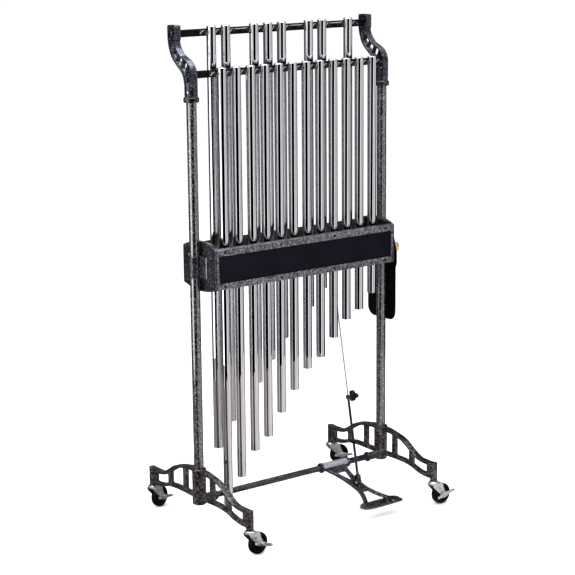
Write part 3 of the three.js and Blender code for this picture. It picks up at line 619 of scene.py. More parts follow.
def bell(length):
    wall_in = BELL_R - BELL_WALL
    foot = [(wall_in, -length + 0.5), (wall_in + 0.35, -length), (BELL_R - 0.35, -length), (BELL_R, -length + 0.5)]
    spans = max(3, round(length / 150))
    side = [(BELL_R, -length + 0.5 + (length - 3.5) * i / spans) for i in range(1, spans + 1)]
    rim = [(BELL_R - 2.6 * (1 - math.cos(a)), -2.6 + 2.6 * math.sin(a)) for a in [math.radians(18 * i) for i in range(1, 6)]]
    cap = [(BELL_R - 3.3, -0.15), (BELL_R - 3.7, -0.9), (BELL_R - 4.3, -0.95), (BELL_R - 4.7, -0.4), (BELL_R - 6.2, -0.15), (4, 0), (0, 0)]
    inner = [(0, -9), (wall_in - 0.6, -9), (wall_in, -9.6)]
    inside = [(wall_in, -9.6 - (length - 10.1) * i / spans) for i in range(1, spans)]
    s = Shape().add(lathe(inner + inside + foot + side + rim + cap, 48))
    hole = Shape().add(lathe([(0, -20), (3.3, -20), (3.3, 20), (0, 20)], 20), move(0, 0, -HOLE_DROP) @ AXIS_X)
    me = mesh_of("bell", s)
    outward(me)
    return carve(me, [hole], "bell")


ROWS = [(n, k, FIRST_X + i * PITCH, 0) for i, (n, k) in enumerate(FRONT)] + [(n, k, FIRST_X + s * PITCH, 1) for n, k, s in REAR]
for n, k, x, row in ROWS:
    me = bell(bell_length(k))
    me.transform(move(x, ROW_Y[row], ROW_TOP[row]))
    piece("tube_" + n, me, CHROME, "tube_" + n, "bell_" + n, 30)

# --------------------------------------------------------- rails, pegs, cords

FRONT_PEGS = [FIRST_X + (i - 0.5) * PITCH for i in range(13)]
REAR_PEGS = [FIRST_X + s * PITCH for s in sorted({round(s + d, 1) for _, _, s in REAR for d in (-0.5, 0.5)})]


def rail(row, pegs):
    y, z = RAIL_Y[row], RAIL_Z[row]
    face = y - RAIL_T / 2
    s = Shape().add(rbox(-RAIL_HALF, RAIL_HALF, face, y + RAIL_T / 2, z - RAIL_H / 2, z + RAIL_H / 2, 1.6))
    peg_z = ROW_TOP[row] - HOLE_DROP + CORD_RISE - PEG_R - CORD_R - 0.3
    y0 = ROW_Y[row] - 8.5
    shank = rounded([(0, face + 1), (9.5, face + 1), (9.5, face - 2.2), (5.2, face - 3.2), (3.9, face - 5.5), (3.6, ROW_Y[row] - 4.6), (7.4, ROW_Y[row] - 5.4), (7.6, y0 + 1.4), (5.0, y0 + 0.1), (0, y0 - 0.1)], {2: 0.8, 7: 1.2, 8: 1.5}, 3)
    # the lathe's height runs along +Y here, so the profile is given in Y
    knob = lathe(shank, 20)
    for x in pegs:
        s.add(knob, move(x, 0, peg_z) @ AXIS_Y, 1)
    return s


for row, pegs in ((0, FRONT_PEGS), (1, REAR_PEGS)):
    which = ("front", "rear")[row]
    piece(which + "_rail", rail(row, pegs), [BLACK, PLASTIC], "frame", which + "_hanger_rail")


def cord_route(row, pegs, bells):
    low = ROW_TOP[row] - HOLE_DROP
    high = low + CORD_RISE
    y = ROW_Y[row]
    pts = [(pegs[0] - 13, y, high - 9), (pegs[0] - 8, y, high - 4.2)]
    for i, x in enumerate(pegs):
        pts += [(x - 3.4, y, high - 0.6), (x, y, high), (x + 3.4, y, high - 0.6)]
        here = [b for b in bells if x < b < x + PITCH]
        if here:
            b = here[0]
            pts += [(b - 17, y, low + 0.6), (b - 9, y, low - 0.3), (b, y, low - 0.4), (b + 9, y, low - 0.3), (b + 17, y, low + 0.6)]
    pts += [(pegs[-1] + 8, y, high - 4.2), (pegs[-1] + 13, y, high - 9)]
    return pts


for row, pegs in ((0, FRONT_PEGS), (1, REAR_PEGS)):
    which = ("front", "rear")[row]
    pts = cord_route(row, pegs, [x for _, _, x, r in ROWS if r == row])
    s = Shape().add(tube(smooth_line(pts, 3.0), CORD_R, 10))
    for end in (pts[0], pts[-1]):
        s.add(lathe([(0, -2.2), (1.6, -1.7), (2.1, 0), (1.6, 1.7), (0, 2.2)], 12), move(*end) @ move(0, 0, 0.6))
    piece(which + "_cord", s, BRAID, "frame", which + "_bell_cord", 60)

# -------------------------------------------------------- posts and cross bar

for side, which in ((-1, "left"), (1, "right")):
    inner = POST_R - 2.5
    prof = rounded([(inner, 105), (POST_R, 105), (POST_R, 1536), (inner, 1536)], {1: 0.8, 2: 0.8}, 2)
    rows = []
    for i, (r, z) in enumerate(prof):
        rows.append((r, z))
        if i + 1 < len(prof) and prof[i + 1][1] - z > 1000:
            rows += [(POST_R, z + (prof[i + 1][1] - z) * j / 8) for j in range(1, 8)]
    piece(which + "_upright", Shape().add(lathe(rows, 64, True), move(side * POST_X, 0, 0)), POST_HAMMER, "frame", which + "_post")

s = Shape().add(lathe(rounded([(BAR_R - 2, -BAR_HALF), (BAR_R, -BAR_HALF), (BAR_R, BAR_HALF), (BAR_R - 2, BAR_HALF)], {1: 0.6, 2: 0.6}, 2), 48, True), move(0, 0, BAR_Z) @ AXIS_X)
for x0, x1 in ((PEDAL_X - 63.4, PEDAL_X - 55.4), (PEDAL_X + 55.4, PEDAL_X + 63.4)):
    s.add(lathe(rounded([(BAR_R - 0.2, x0), (18.5, x0), (18.5, x1), (BAR_R - 0.2, x1)], {1: 1.2, 2: 1.2}, 3), 48, True), move(0, 0, BAR_Z) @ AXIS_X)
    mid = (x0 + x1) / 2
    s.add(plate(ring(2.6, n=6), 16.5, 19.3, "z", (), 0.5, 2), move(mid, 0, BAR_Z) @ Matrix.Rotation(math.radians(62), 4, "X"), 1)
piece("cross_tube", s, [BLUE_HAMMER, STEEL], "frame", "cross_bar")

# --------------------------------------------------------------- cast pieces

LEG_TOP = [(22, 226), (45, 226), (72, 221.5), (95, 217.5), (118, 212), (140, 204), (160, 192.5), (180, 180), (205, 166), (225, 159), (245, 157), (286, 157)]
LEG_LOW = [(286, 99), (262, 99), (245, 100), (215, 105), (195, 111), (175, 117), (145, 121), (110, 122), (60, 121.7), (22, 121)]
LEG_UNDER = [(28, 210), (60, 209), (92, 205), (115, 199), (135, 190), (172, 168.5), (195, 155.5), (212, 149), (234, 144.5), (262, 144)]
LEG_OVER = [(28, 136), (70, 136.4), (110, 137), (145, 135.5), (175, 131), (205, 121.5), (235, 115), (262, 113)]


def height(line, y):
    for (a, za), (b, zb) in zip(line, line[1:]):
        if y <= b:
            return za + (zb - za) * (y - a) / (b - a)
    return line[-1][1]


def leg_hole(y0, y1, r=5.0):
    under, over = smooth_line(LEG_UNDER, 6), smooth_line(LEG_OVER, 6)
    low = [(y, z) for y, z in over if y0 + 3 < y < y1 - 3]
    up = [(y, z) for y, z in under if y0 + 3 < y < y1 - 3]
    loop = [(y0, height(over, y0)), *low, (y1, height(over, y1)), (y1, height(under, y1)), *up[::-1], (y0, height(under, y0))]
    n = len(low)
    return rounded(loop, {0: r, n + 1: r, n + 2: r, len(loop) - 1: r}, 4)


def leg():
    s = Shape()
    x = POST_X
    top, low = smooth_line(LEG_TOP, 6), smooth_line(LEG_LOW, 6)
    for sign in (1, -1):
        def flip(pts):
            return [(sign * a, b) for a, b in pts]
        holes = [flip(leg_hole(a, b)) for a, b in ((29, 71), (92, 166), (187, 262))]
        s.add(plate(flip(top + low), x - 6.5, x + 6.5, "x", holes))
        s.add(plate(flip(top + [(a, b - 7.2) for a, b in top][::-1]), x - 13, x + 13, "x"))
        s.add(plate(flip(low + [(a, b + 6.5) for a, b in low][::-1]), x - 10.5, x + 10.5, "x"))
        s.add(lathe([(0, 90), (13, 90), (13, 158.5), (0, 158.5)], 40), move(x, sign * LEG_Y, 0))
    s.add(lathe([(0, 99), (16.5, 99), (20.5, 100.6), (24, 104), (24, 222), (25.2, 223), (25.2, 228), (0, 228)], 48), move(x, 0, 0))
    s.add(lathe([(0, 335), (18, 335), (18, 343), (14.5, 344.5), (14.5, x), (0, x)], 48), move(0, 0, BAR_Z) @ AXIS_X)
    cut = [
        Shape().add(lathe([(0, 104.6), (POST_R + 0.3, 104.6), (POST_R + 0.3, 240), (0, 240)], 48), move(x, 0, 0)),
        Shape().add(lathe([(0, 330), (BAR_R + 0.3, 330), (BAR_R + 0.3, BAR_HALF + 0.4), (0, BAR_HALF + 0.4)], 40), move(0, 0, BAR_Z) @ AXIS_X),
    ] + [Shape().add(lathe([(0, 80), (6.2, 80), (6.2, 126), (0, 126)], 24), move(x, q * LEG_Y, 0)) for q in (1, -1)]
    return casting(s, 1.4, 4, 0.30, cut, "leg")


right_leg = leg()
left_leg = right_leg.copy()
piece("right_foot", right_leg, HAMMER, "frame", "right_leg", 60)
piece("left_foot", left_leg, HAMMER, "frame", "left_leg", 60, mirror=True)

BR_FRONT = [(-21.5, 1566), (-18, 1583), (-8, 1599), (6, 1611), (26, 1620), (43, 1627), (55, 1637), (67, 1651), (74, 1667), (74, 1690), (72.5, 1706)]
BR_REAR = [(115.5, 1706), (115.5, 1684), (114, 1664), (107, 1642), (97, 1622), (80, 1604), (59, 1588), (38, 1572), (28, 1557), (24, 1537)]
FLANGE_F = [(81, 1668), (75, 1650), (63, 1634), (49, 1621), (30, 1612), (11, 1603), (-3, 1591), (-11, 1575)]
FLANGE_R = [(108, 1668), (101, 1646), (91, 1627), (76, 1611), (56, 1595), (35, 1580), (23, 1565), (18, 1556)]


def on(line, t):
    t = max(0.0, min(t, len(line) - 1.0))
    i = min(int(t), len(line) - 2)
    f = t - i
    return (line[i][0] + (line[i + 1][0] - line[i][0]) * f, line[i][1] + (line[i + 1][1] - line[i][1]) * f)


def lacing(a, b, lean):
    pts = [on(FLANGE_F, a), on(FLANGE_F, (a + b) / 2), on(FLANGE_F, b), on(FLANGE_R, b + lean), on(FLANGE_R, (a + b) / 2 + lean), on(FLANGE_R, a + lean)]
    return rounded(pts, {0: 4, 2: 4, 3: 4, 5: 4}, 4)


def band(line, inset):
    out = []
    for i, (y, z) in enumerate(line):
        a, b = line[max(i - 1, 0)], line[min(i + 1, len(line) - 1)]
        d = math.hypot(b[0] - a[0], b[1] - a[1])
        out.append((y + inset * (b[1] - a[1]) / d, z - inset * (b[0] - a[0]) / d))
    return list(line) + out[::-1]


def bracket():
    x = POST_X
    front, rear = smooth_line(BR_FRONT, 5), smooth_line(BR_REAR, 5)
    outline = [(-21.5, 1537)] + front + [(72, 1717), (75, 1723), (112, 1723), (115.5, 1717)] + rear
    holes = [
        rounded([on(FLANGE_F, 0.1), on(FLANGE_F, 0.55), on(FLANGE_R, 1.35), on(FLANGE_R, 0.1)], {0: 3, 1: 3, 2: 3, 3: 3}, 3),
        lacing(1.0, 2.05, 0.8), lacing(2.45, 3.5, 0.8), lacing(3.95, 5.0, 0.7),
        rounded([on(FLANGE_F, 5.5), on(FLANGE_F, 6.6), on(FLANGE_R, 6.9), on(FLANGE_R, 6.2)], {0: 3, 1: 3, 2: 3, 3: 3}, 3),
    ]
    s = Shape().add(plate(outline, x - 6.5, x + 6.5, "x", holes))
    s.add(plate(band(front[:-4], 6), x - 12, x + 12, "x"))
    s.add(plate(band(rear, 6), x - 12, x + 12, "x"))
    boss = rounded([(71.5, 1672), (71.5, 1723.3), (116, 1723.3), (116, 1672)], {1: 5, 2: 5, 0: 8, 3: 4}, 4)
    s.add(plate(boss, x - 12, x + 12, "x"))
    nose = rounded([(-21.5, 1530), (-21.5, 1572), (-14, 1588), (6, 1583), (6, 1530)], {1: 6, 2: 6}, 4)
    s.add(plate(nose, x - 12, x + 12, "x"))
    s.add(lathe([(0, 1490), (22, 1490), (22, 1540), (20.5, 1543), (0, 1543)], 48), move(x, 0, 0))
    s.add(lathe([(0, 1478), (25, 1478), (26, 1479.5), (26, 1492), (25, 1494), (0, 1494)], 48), move(x, 0, 0))
    cut = [
        Shape().add(lathe([(0, 1470), (POST_R + 0.3, 1470), (POST_R + 0.3, 1536.4), (0, 1536.4)], 48), move(x, 0, 0)),
        Shape().add(lathe([(0, 0), (3.4, 0), (3.4, 3.5), (0, 3.5)], 20), move(x, -22.2, 1568) @ AXIS_Y),
    ]
    return casting(s, 1.0, 4, 0.30, cut, "bracket")


right_bracket = bracket()
left_bracket = right_bracket.copy()
piece("right_gooseneck", right_bracket, NAVY_HAMMER, "frame", "right_top_bracket", 60)
piece("left_gooseneck", left_bracket, NAVY_HAMMER, "frame", "left_top_bracket", 60, mirror=True)

# screws of the brackets: into the rails from outside, the cap ring on the boss, and the grub screw of the socket
for side, which in ((-1, "left"), (1, "right")):
    s = Shape()
    for y, z in ((92, 1694), (-6, 1567)):
        s.add(lathe(rounded([(0, 0), (7.5, 0), (7.5, 2.2), (5.5, 3.8), (0, 4.2)], {1: 0.3, 2: 1.0, 3: 1.2}, 3), 28), move(side * (POST_X + 12), y, z) @ (AXIS_X if side > 0 else MIRROR @ AXIS_X), 1)
    s.add(lathe(rounded([(0, 1722.6), (5.6, 1722.6), (5.6, 1723.2), (3.2, 1723.45), (0, 1723.3)], {2: 0.2}, 2), 24), move(side * POST_X, 94, 0), 0)
    s.add(lathe(rounded([(0, 0), (3.6, 0), (3.6, 1.6), (1.9, 1.8), (1.9, 0.6), (0, 0.6)], {2: 0.4}, 2), 20), move(side * POST_X, 0, 1512) @ Matrix.Rotation(math.radians(-65 if side < 0 else 65), 4, "Z") @ move(0, -21.6, 0) @ Matrix.Rotation(math.radians(90), 4, "X"), 0)
    piece(which + "_bracket_screws", s, [STEEL, NAVY_HAMMER], "frame")

# ---------------------------------------------------------------- damper box

END_OUT = [(-95, 860), (-70, 853.5), (-45, 849), (-15, 846), (15, 846), (45, 849), (72, 855), (97.7, 862), (97.7, 990), (80, 998), (55, 1006), (28, 1012), (0, 1014), (-28, 1013.5), (-52, 1010), (-76, 1003), (-95, 995)]


def end_casting():
    low = smooth_line(END_OUT[:8], 5)
    top = smooth_line(END_OUT[8:], 5)
    outline = low + top
    inner_top = [(y * 0.93 + 0.1, 929 + (z - 929) * 0.91) for y, z in top]
    inner_low = [(y * 0.93 + 0.1, 929 + (z - 929) * 0.91) for y, z in low]
    s = Shape().add(plate(outline, BOX_HALF, BOX_HALF + 5, "x"))
    top_in = [(y, z) for y, z in top if -69 < y < 87.5]
    top_in2 = [(y, 929 + (z - 929) * 0.91) for y, z in top_in]
    s.add(plate(top_in + top_in2[::-1], BOX_HALF - 7, BOX_HALF + 1, "x"))
    s.add(plate([(BOX_HALF + 4, -52), (BOX_HALF + 12, -50), (BOX_HALF + 14.3, -26), (BOX_HALF + 14.3, 26), (BOX_HALF + 12, 50), (BOX_HALF + 4, 52)], 894, 967, "z"))
    s.add(lathe([(0, 894), (22, 894), (22, 967), (0, 967)], 48), move(POST_X, 0, 0))
    s.add(rbox(BOX_HALF + 2, POST_X, -22, 22, 894, 967, 0))
    s.add(rbox(BOX_HALF - 16, BOX_HALF + 1, -14, 1.2, 916, 927.4, 0))
    s.add(rbox(BOX_HALF - 16, BOX_HALF + 1, 32.5, 47.7, 916, 927.4, 0))
    cut = [Shape().add(lathe([(0, 880), (POST_R + 0.3, 880), (POST_R + 0.3, 980), (0, 980)], 48), move(POST_X, 0, 0))]
    return casting(s, 1.2, 3, 0.30, cut, "end")


right_end = end_casting()
left_end = right_end.copy()
piece("right_end_plate", right_end, BLUE_HAMMER, "frame", "right_end_casting", 50)
piece("left_end_plate", left_end, BLUE_HAMMER, "frame", "left_end_casting", 50, mirror=True)

for side, which in ((-1, "left"), (1, "right")):
    # felt strip along the top edge, and the two cap screws that pull the saddle onto the post
    top = [(y, z) for y, z in smooth_line(END_OUT[8:], 5) if -66 < y < 84]
    strip = [(y, z + 0.3) for y, z in top] + [(y, z - 5.5) for y, z in top][::-1]
    s = Shape().add(plate(strip, side * (BOX_HALF - 7.4), side * (BOX_HALF - 9.4), "x", (), 0.6, 2))
    # the left strip gets the lighter tan felt as painted light and the right strip the darker brown felt as painted
    # shade; both are the same felt
    piece(which + "_edge_felt", s, PAINTED_LIT_FELT if side < 0 else FELT, "frame")
    s = Shape()
    for z in (912, 949):
        at = move(side * POST_X, 0, z) @ Matrix.Rotation(math.radians(-90 * side), 4, "Z") @ move(0, -21.6, 0) @ Matrix.Rotation(math.radians(90), 4, "X")
        s.add(lathe(rounded([(0, 0), (4.2, 0), (4.2, 2.4), (2.2, 2.6), (2.2, 1.0), (0, 1.0)], {2: 0.5}, 2), 24), at)
    # bead along the saddle's front and rear edges, in bright steel so that it shows as a highlight line: a painted
    # highlight for the saddle's rounded edge
    for y in (-50.2, 50.2):
        s.add(lathe(rounded([(0, 895), (2.0, 895), (2.0, 966), (0, 966)], {1: 1.2, 2: 1.2}, 3), 20), move(side * (BOX_HALF + 11.2), y, 0))
    piece(which + "_saddle_screws_and_highlight_bead", s, STEEL, "frame")


def front_frame():
    h = BOX_HALF - 0.3
    me = mesh_of("front", Shape().add(rbox(-h, h, -95, -70, 860, 996, 2.2, 4)))
    outward(me)
    win = rounded([(-h + 9, 882), (h - 9, 882), (h - 9, 974), (-h + 9, 974)], {0: 4, 1: 4, 2: 4, 3: 4}, 4)
    return carve(me, [
        Shape().add(rbox(-h + 2.5, h - 2.5, -92, -50, 862.5, 993.5, 1.2, 2)),
        Shape().add(plate(win, -105, -85, "y")),
    ], "front")


piece("front_border", front_frame(), GREY_HAMMER, "frame", "front_frame", 32)
piece("front_inset", Shape().add(rbox(-376.7, 376.7, -91.7, -88.7, 868, 988, 0.8, 2)), PANEL, "frame", "front_panel")

s = Shape()
for z in (985.5, 870.5):
    for x in (-346, -115, 115, 346):
        head = lathe(rounded([(0, 0), (4.4, 0), (4.4, 0.9), (2.9, 2.1), (1.7, 2.3), (1.6, 1.0), (0, 1.0)], {2: 0.4, 3: 0.7}, 3), 24)
        s.add(head, move(x, -95.0, z) @ Matrix.Rotation(math.radians(90), 4, "X"))
piece("front_screws", s, BLACK, "frame")

piece("back_sheet", Shape().add(rbox(-379.7, 379.7, 95, 97.7, 860, 991, 0.9, 2)), BLACK, "frame", "rear_wall")
s = Shape()
for z in (982, 869):
    for x in (-346, -115, 115, 346):
        s.add(lathe(rounded([(0, 0), (4.4, 0), (4.4, 0.9), (2.9, 2.1), (0, 2.4)], {2: 0.4, 3: 0.7}, 3), 24), move(x, 97.7, z) @ AXIS_Y)
piece("back_screws", s, STEEL, "frame")


def felt_pad(x0, x1, y0, y1, z0, z1, r=1.8, step=18.0, seed=3):
    """A long pad whose rounded edges wander a little."""
    section = rounded([(y0, z0), (y1, z0), (y1, z1), (y0, z1)], {0: r, 1: r, 2: r, 3: r}, 3)
    rng = np.random.default_rng(seed)
    n = round((x1 - x0) / step)
    verts, faces = [], []
    cy, cz = (y0 + y1) / 2, (z0 + z1) / 2
    for i in range(n + 1):
        x = x0 + (x1 - x0) * i / n
        g = 1 - 0.012 * rng.random() - (0.05 if i in (0, n) else 0)
        for y, z in section:
            verts.append((x, cy + (y - cy) * (1 - 0.06 * rng.random()), cz + (z - cz) * g))
    m = len(section)
    for i in range(n):
        for j in range(m):
            k = (j + 1) % m
            faces.append((i * m + j, (i + 1) * m + j, (i + 1) * m + k, i * m + k))
    faces += [tuple(range(m)), tuple(n * m + j for j in range(m))[::-1]]
    return verts, faces


piece("back_felt", Shape().add(felt_pad(-371, 371, 89, 94.7, 880, 986, 1.6)), FELT, "frame", "rear_wall_felt", 60)
MID, HALF = 16.85, 17.55
for side, which in ((-1, "front"), (1, "rear")):
    a, b = MID + side * (HALF + 5.3), MID + side * (HALF + 15.3)
    piece(which + "_damping_felt", Shape().add(felt_pad(-368, 368, min(a, b), max(a, b), 929, 965, 2.2, 16, 5 + side)), FELT, which + "_damper", which + "_damper_felt", 60)

wide = lambda z: 4 + 0.55 * (950 - z)
for side, which in ((-1, "front"), (1, "rear")):
    sec = [(MID + side * h, z) for h, z in [(HALF + 5, 928), (HALF, 928), (HALF, 929.5), (wide(931) + 0.4, 931), (wide(938) + 0.4, 938), (HALF, 942.5), (HALF, 966), (HALF + 5, 966)]]
    s = Shape().add(plate(sec, -370, 370, "x", (), 0.5, 2))
    piece(which + "_damping_bar", s, ALLOY, which + "_damper", which + "_damper_bar")
s = Shape().add(plate([(MID - 4, 950), (MID - wide(931), 931), (MID - wide(931), 922), (MID + wide(931), 922), (MID + wide(931), 931), (MID + 4, 950)], -362, 362, "x", (), 0.7, 2))
lug = rounded([(2.6, 924), (2.6, 884), (24, 884), (24, 924)], {1: 7, 2: 7}, 4)
s.add(plate(lug, PEDAL_X + 3.6, PEDAL_X + 9.6, "x", [ring(4.6, 12, 893, 24)], 0.6, 2))
piece("spreader_wedge", s, ALLOY, "wedge", "damper_wedge_bar")

# ------------------------------------------------------------------- casters


def caster(name, sx, sy, angle, rest):
    at = move(sx * POST_X, sy * LEG_Y, 0) @ Matrix.Rotation(math.radians(angle), 4, "Z")
    ax, az = TRAIL, 37.5
    hub = at @ move(ax, 0, az)

    # fork: raceway with its groove, two pressed plates that narrow to the axle, axle with a head and a nut
    s = Shape()
    race = rounded([(0, 78.6), (17.2, 78.6), (18.5, 80.2), (18.5, 82.4), (17.5, 83.2), (17.5, 83.8), (18.4, 84.5), (18.4, 86.6), (15.2, 89.4), (8.4, 89.5), (7.6, 89.9), (5.5, 90), (5.5, 122), (0, 122)], {1: 0.7, 2: 0.7, 3: 0.5, 6: 0.5, 7: 0.8, 8: 1.2}, 3)
    s.add(lathe(race, 44), at)
    s.add(rbox(-15, 26, -16.8, 16.8, 78.6, 82.4, 1.6, 3), at)
    line = [(-15, 82), (-14, 72), (4, 54), (ax - 9, az - 4), (ax - 4, az - 8.5), (ax + 4, az - 8.5), (ax + 9, az - 4), (ax + 8, az + 8), (34, 62), (31, 77), (27, 82)]
    edge = rounded(line, {0: 2, 1: 5, 2: 16, 3: 4, 4: 4, 5: 4, 6: 4, 7: 8, 8: 20, 9: 5, 10: 2}, 5)
    for y0, y1 in ((13.7, 16.8), (-16.8, -13.7)):
        s.add(plate(edge, y0, y1, "y", [ring(2.6, 15, 63, 18)], 0.8, 2), at)
    for q in (-1, 1):
        bead = smooth_line([(-4, q * 16.1, 72), (8, q * 16.1, 66.5), (22, q * 16.1, 52)], 3)
        s.add(tube(bead, 2.2, 12, lambda t: max(0.25, math.sin(math.pi * min(max(t, 0.04), 0.96)) ** 0.5)), at)
    s.add(lathe(rounded([(0, -24.4), (3.9, -24.4), (3.9, 21.4), (0, 21.4)], {1: 0.3, 2: 0.7}, 2), 24), hub @ AXIS_Y, 1)
    s.add(lathe(rounded([(0, -27.0), (4.6, -27.0), (6.6, -25.8), (6.6, -24.2), (0, -24.2)], {1: 0.8, 2: 0.5, 3: 0.2}, 2), 28), hub @ AXIS_Y, 1)
    s.add(lathe(rounded([(0, -21.1), (6.6, -21.1), (6.6, -16.6), (0, -16.6)], {1: 0.4, 2: 0.3}, 2), 28), hub @ AXIS_Y, 1)
    s.add(lathe(rounded([(0, 16.6), (8.0, 16.6), (8.0, 17.9), (0, 17.9)], {1: 0.2, 2: 0.4}, 2), 28), hub @ AXIS_Y, 1)
    s.add(hex_bolt(10.5, 2.8), hub @ move(0, 17.8, 0) @ Matrix.Rotation(math.radians(-90), 4, "X"), 1)
    piece(name + "_yoke", s, [NICKEL, STEEL], name + "_swivel", name + "_caster_fork")

    # wheel: tread with round shoulders, side walls, hub with a bearing boss
    prof = [(4.9, -10.6), (9.2, -10.6), (9.8, -10.0), (10.0, -8.2), (12.0, -7.4), (24.5, -7.8), (26.0, -9.0), (27.2, -11.2), (28.4, -11.9), (31.5, -11.9), (34.6, -11.0), (36.4, -8.9), (37.3, -5.6), (37.5, -2.0)]
    prof = prof + [(r, -y) for r, y in prof[::-1]]
    w = Shape().add(lathe(prof, 72, True), hub @ AXIS_Y)
    for q in (-1, 1):
        w.add(lathe([(4.9, 10.2), (8.6, 10.2), (8.6, 11.3), (8.0, 11.7), (5.6, 11.7), (4.9, 11.3)], 32, True), hub @ (AXIS_Y if q > 0 else Matrix.Rotation(math.pi, 4, "Z") @ AXIS_Y), 1)
    piece(name + "_tyre", w, [RUBBER, STEEL], name + "_roller", name + "_caster_wheel", 28)

    # brake: a rocker that turns on the axle, with a ribbed tread tab bent out at each end
    turn = hub @ Matrix.Rotation(math.radians(-rest), 4, "Y")
    bar = [(-34, -4), (-12, -6.5), (-6, -9.5), (6, -9.5), (14, -6.5), (46, -4.5), (46, 4.5), (14, 6.5), (6, 9.5), (-6, 9.5), (-12, 6.5), (-34, 4)]
    edge = rounded(bar, {0: 2, 1: 8, 2: 5, 3: 5, 4: 8, 5: 2.5, 6: 2.5, 7: 8, 8: 5, 9: 5, 10: 8, 11: 2}, 4)
    b = Shape().add(plate(edge, -23.6, -21.2, "y", [ring(4.2, 0, 0, 24)], 0.6, 2), turn)
    for x0, x1, y0 in ((35, 46, -31), (-34, -24, -29)):
        b.add(rbox(x0, x1, y0, -21.4, -1.6, 1.6, 0.8, 3), turn)
        for i in range(3):
            x = x0 + 2.6 + i * (x1 - x0 - 5.2) / 2
            b.add(rbox(x - 0.7, x + 0.7, y0 + 0.9, -24.4, 0.8, 2.2, 0.5, 2), turn)
    piece(name + "_brake_rocker", b, ZINC, name + "_brake", name + "_brake_lever")


for c in CORNERS:
    caster(*c)

# ------------------------------------------------------------- pedal and rod


def pedal():
    slope = math.radians(14.0)
    edge = [(46, 8), (43, 22), (34, 50), (28.5, 78), (25, 110), (23.5, 140), (24.5, 165), (29, 188), (36, 206), (45, 226), (53, 242), (61, 250)]
    right = smooth_line(edge, 6)
    toe = rounded([(61, 250), (79, 255.5), (86, 264), (91.5, 287), (60, 287.5), (30, 289), (0, 289.5)], {1: 2.5, 2: 6, 3: 1.5, 4: 30}, 3)[1:]
    heel = rounded([(61, 250), (79, 255.5), (84, 261), (86.5, 270), (76, 282), (60, 286.5), (30, 289), (0, 289.5)], {1: 2.5, 2: 2.5, 3: 2.5, 4: 4, 5: 20}, 3)[1:]
    outline = right + toe[:-1] + [(-h, v) for h, v in (right + heel)[::-1]]
    rear = smooth_line([(22, 40), (16, 60), (10, 82), (4, 103)], 6) + smooth_line([(-4, 103), (-10, 82), (-16, 60), (-22, 40)], 6)
    rear = rounded(rear, {0: 2.5, len(rear) - 1: 2.5, len(rear) // 2 - 1: 2.5, len(rear) // 2: 2.5}, 3)
    fr = smooth_line([(12.5, 183), (19, 205), (30, 230), (43, 253)], 6)
    fr = fr + [(-h, v) for h, v in fr[::-1]]
    fr = rounded(fr, {0: 3, len(fr) - 1: 3, len(fr) // 2 - 1: 2, len(fr) // 2: 2}, 3)
    # plate coordinates: first axis along X, second forward and down, third square to both
    tilt = Matrix((
        (1, 0, 0, PEDAL_X),
        (0, -math.cos(slope), -math.sin(slope), 0),
        (0, -math.sin(slope), math.cos(slope), 112),
        (0, 0, 0, 1),
    ))
    s = Shape().add(plate(outline, -4.4, 4.4, "z", [rear, fr]), tilt)
    # raised rim along both sides of the waist
    for q in (-1, 1):
        s.add(tube([(q * (h - 3.2), v, 3.0) for h, v in right[2:-2]], 2.7, 12), tilt)
    s.add(lathe([(0, PEDAL_X - 55), (15.7, PEDAL_X - 55), (16, PEDAL_X - 54.5), (16, PEDAL_X + 54.5), (15.7, PEDAL_X + 55), (0, PEDAL_X + 55)], 48), move(0, 0, BAR_Z) @ AXIS_X)
    y0, z0 = -141.0, 91.0
    s.add(plate([(y0 - 11, 74), (y0 + 11, 80), (y0 + 6.5, z0 + 4), (y0 + 3, z0 + 6.8), (y0 - 3, z0 + 6.8), (y0 - 6.5, z0 + 4)], PEDAL_X - 4, PEDAL_X + 4, "x"))
    cut = [
        Shape().add(lathe([(0, PEDAL_X - 80), (BAR_R + 0.4, PEDAL_X - 80), (BAR_R + 0.4, PEDAL_X + 80), (0, PEDAL_X + 80)], 48), move(0, 0, BAR_Z) @ AXIS_X),
        Shape().add(lathe([(0, PEDAL_X - 10), (3.4, PEDAL_X - 10), (3.4, PEDAL_X + 10), (0, PEDAL_X + 10)], 24), move(0, y0, z0) @ AXIS_X),
    ]
    return casting(s, 0.9, 2, 0.25, cut, "pedal")


pm = pedal()
pedal_piece = piece("foot_pedal", pm, [HAMMER, SLEEVE_HAMMER], "pedal_lever", "pedal", 50)
# the sleeve that turns on the bar has the lighter enamel
axis_y, axis_z = OY, BAR_Z / 1000
pm.polygons.foreach_set("material_index", [
    1 if math.hypot(p.center[1] - axis_y, p.center[2] - axis_z) < 0.0172 and p.center[1] - axis_y > -0.0125 or (math.hypot(p.center[1] - axis_y, p.center[2] - axis_z) < 0.0165 and p.center[2] > axis_z) else 0
    for p in pm.polygons])

ROD_TILT = -math.atan2(12 + 141, 893 - 91)
ROD_LEN = math.hypot(12 + 141, 893 - 91)
ROD = move(PEDAL_X, -141, 91) @ Matrix.Rotation(ROD_TILT, 4, "X")


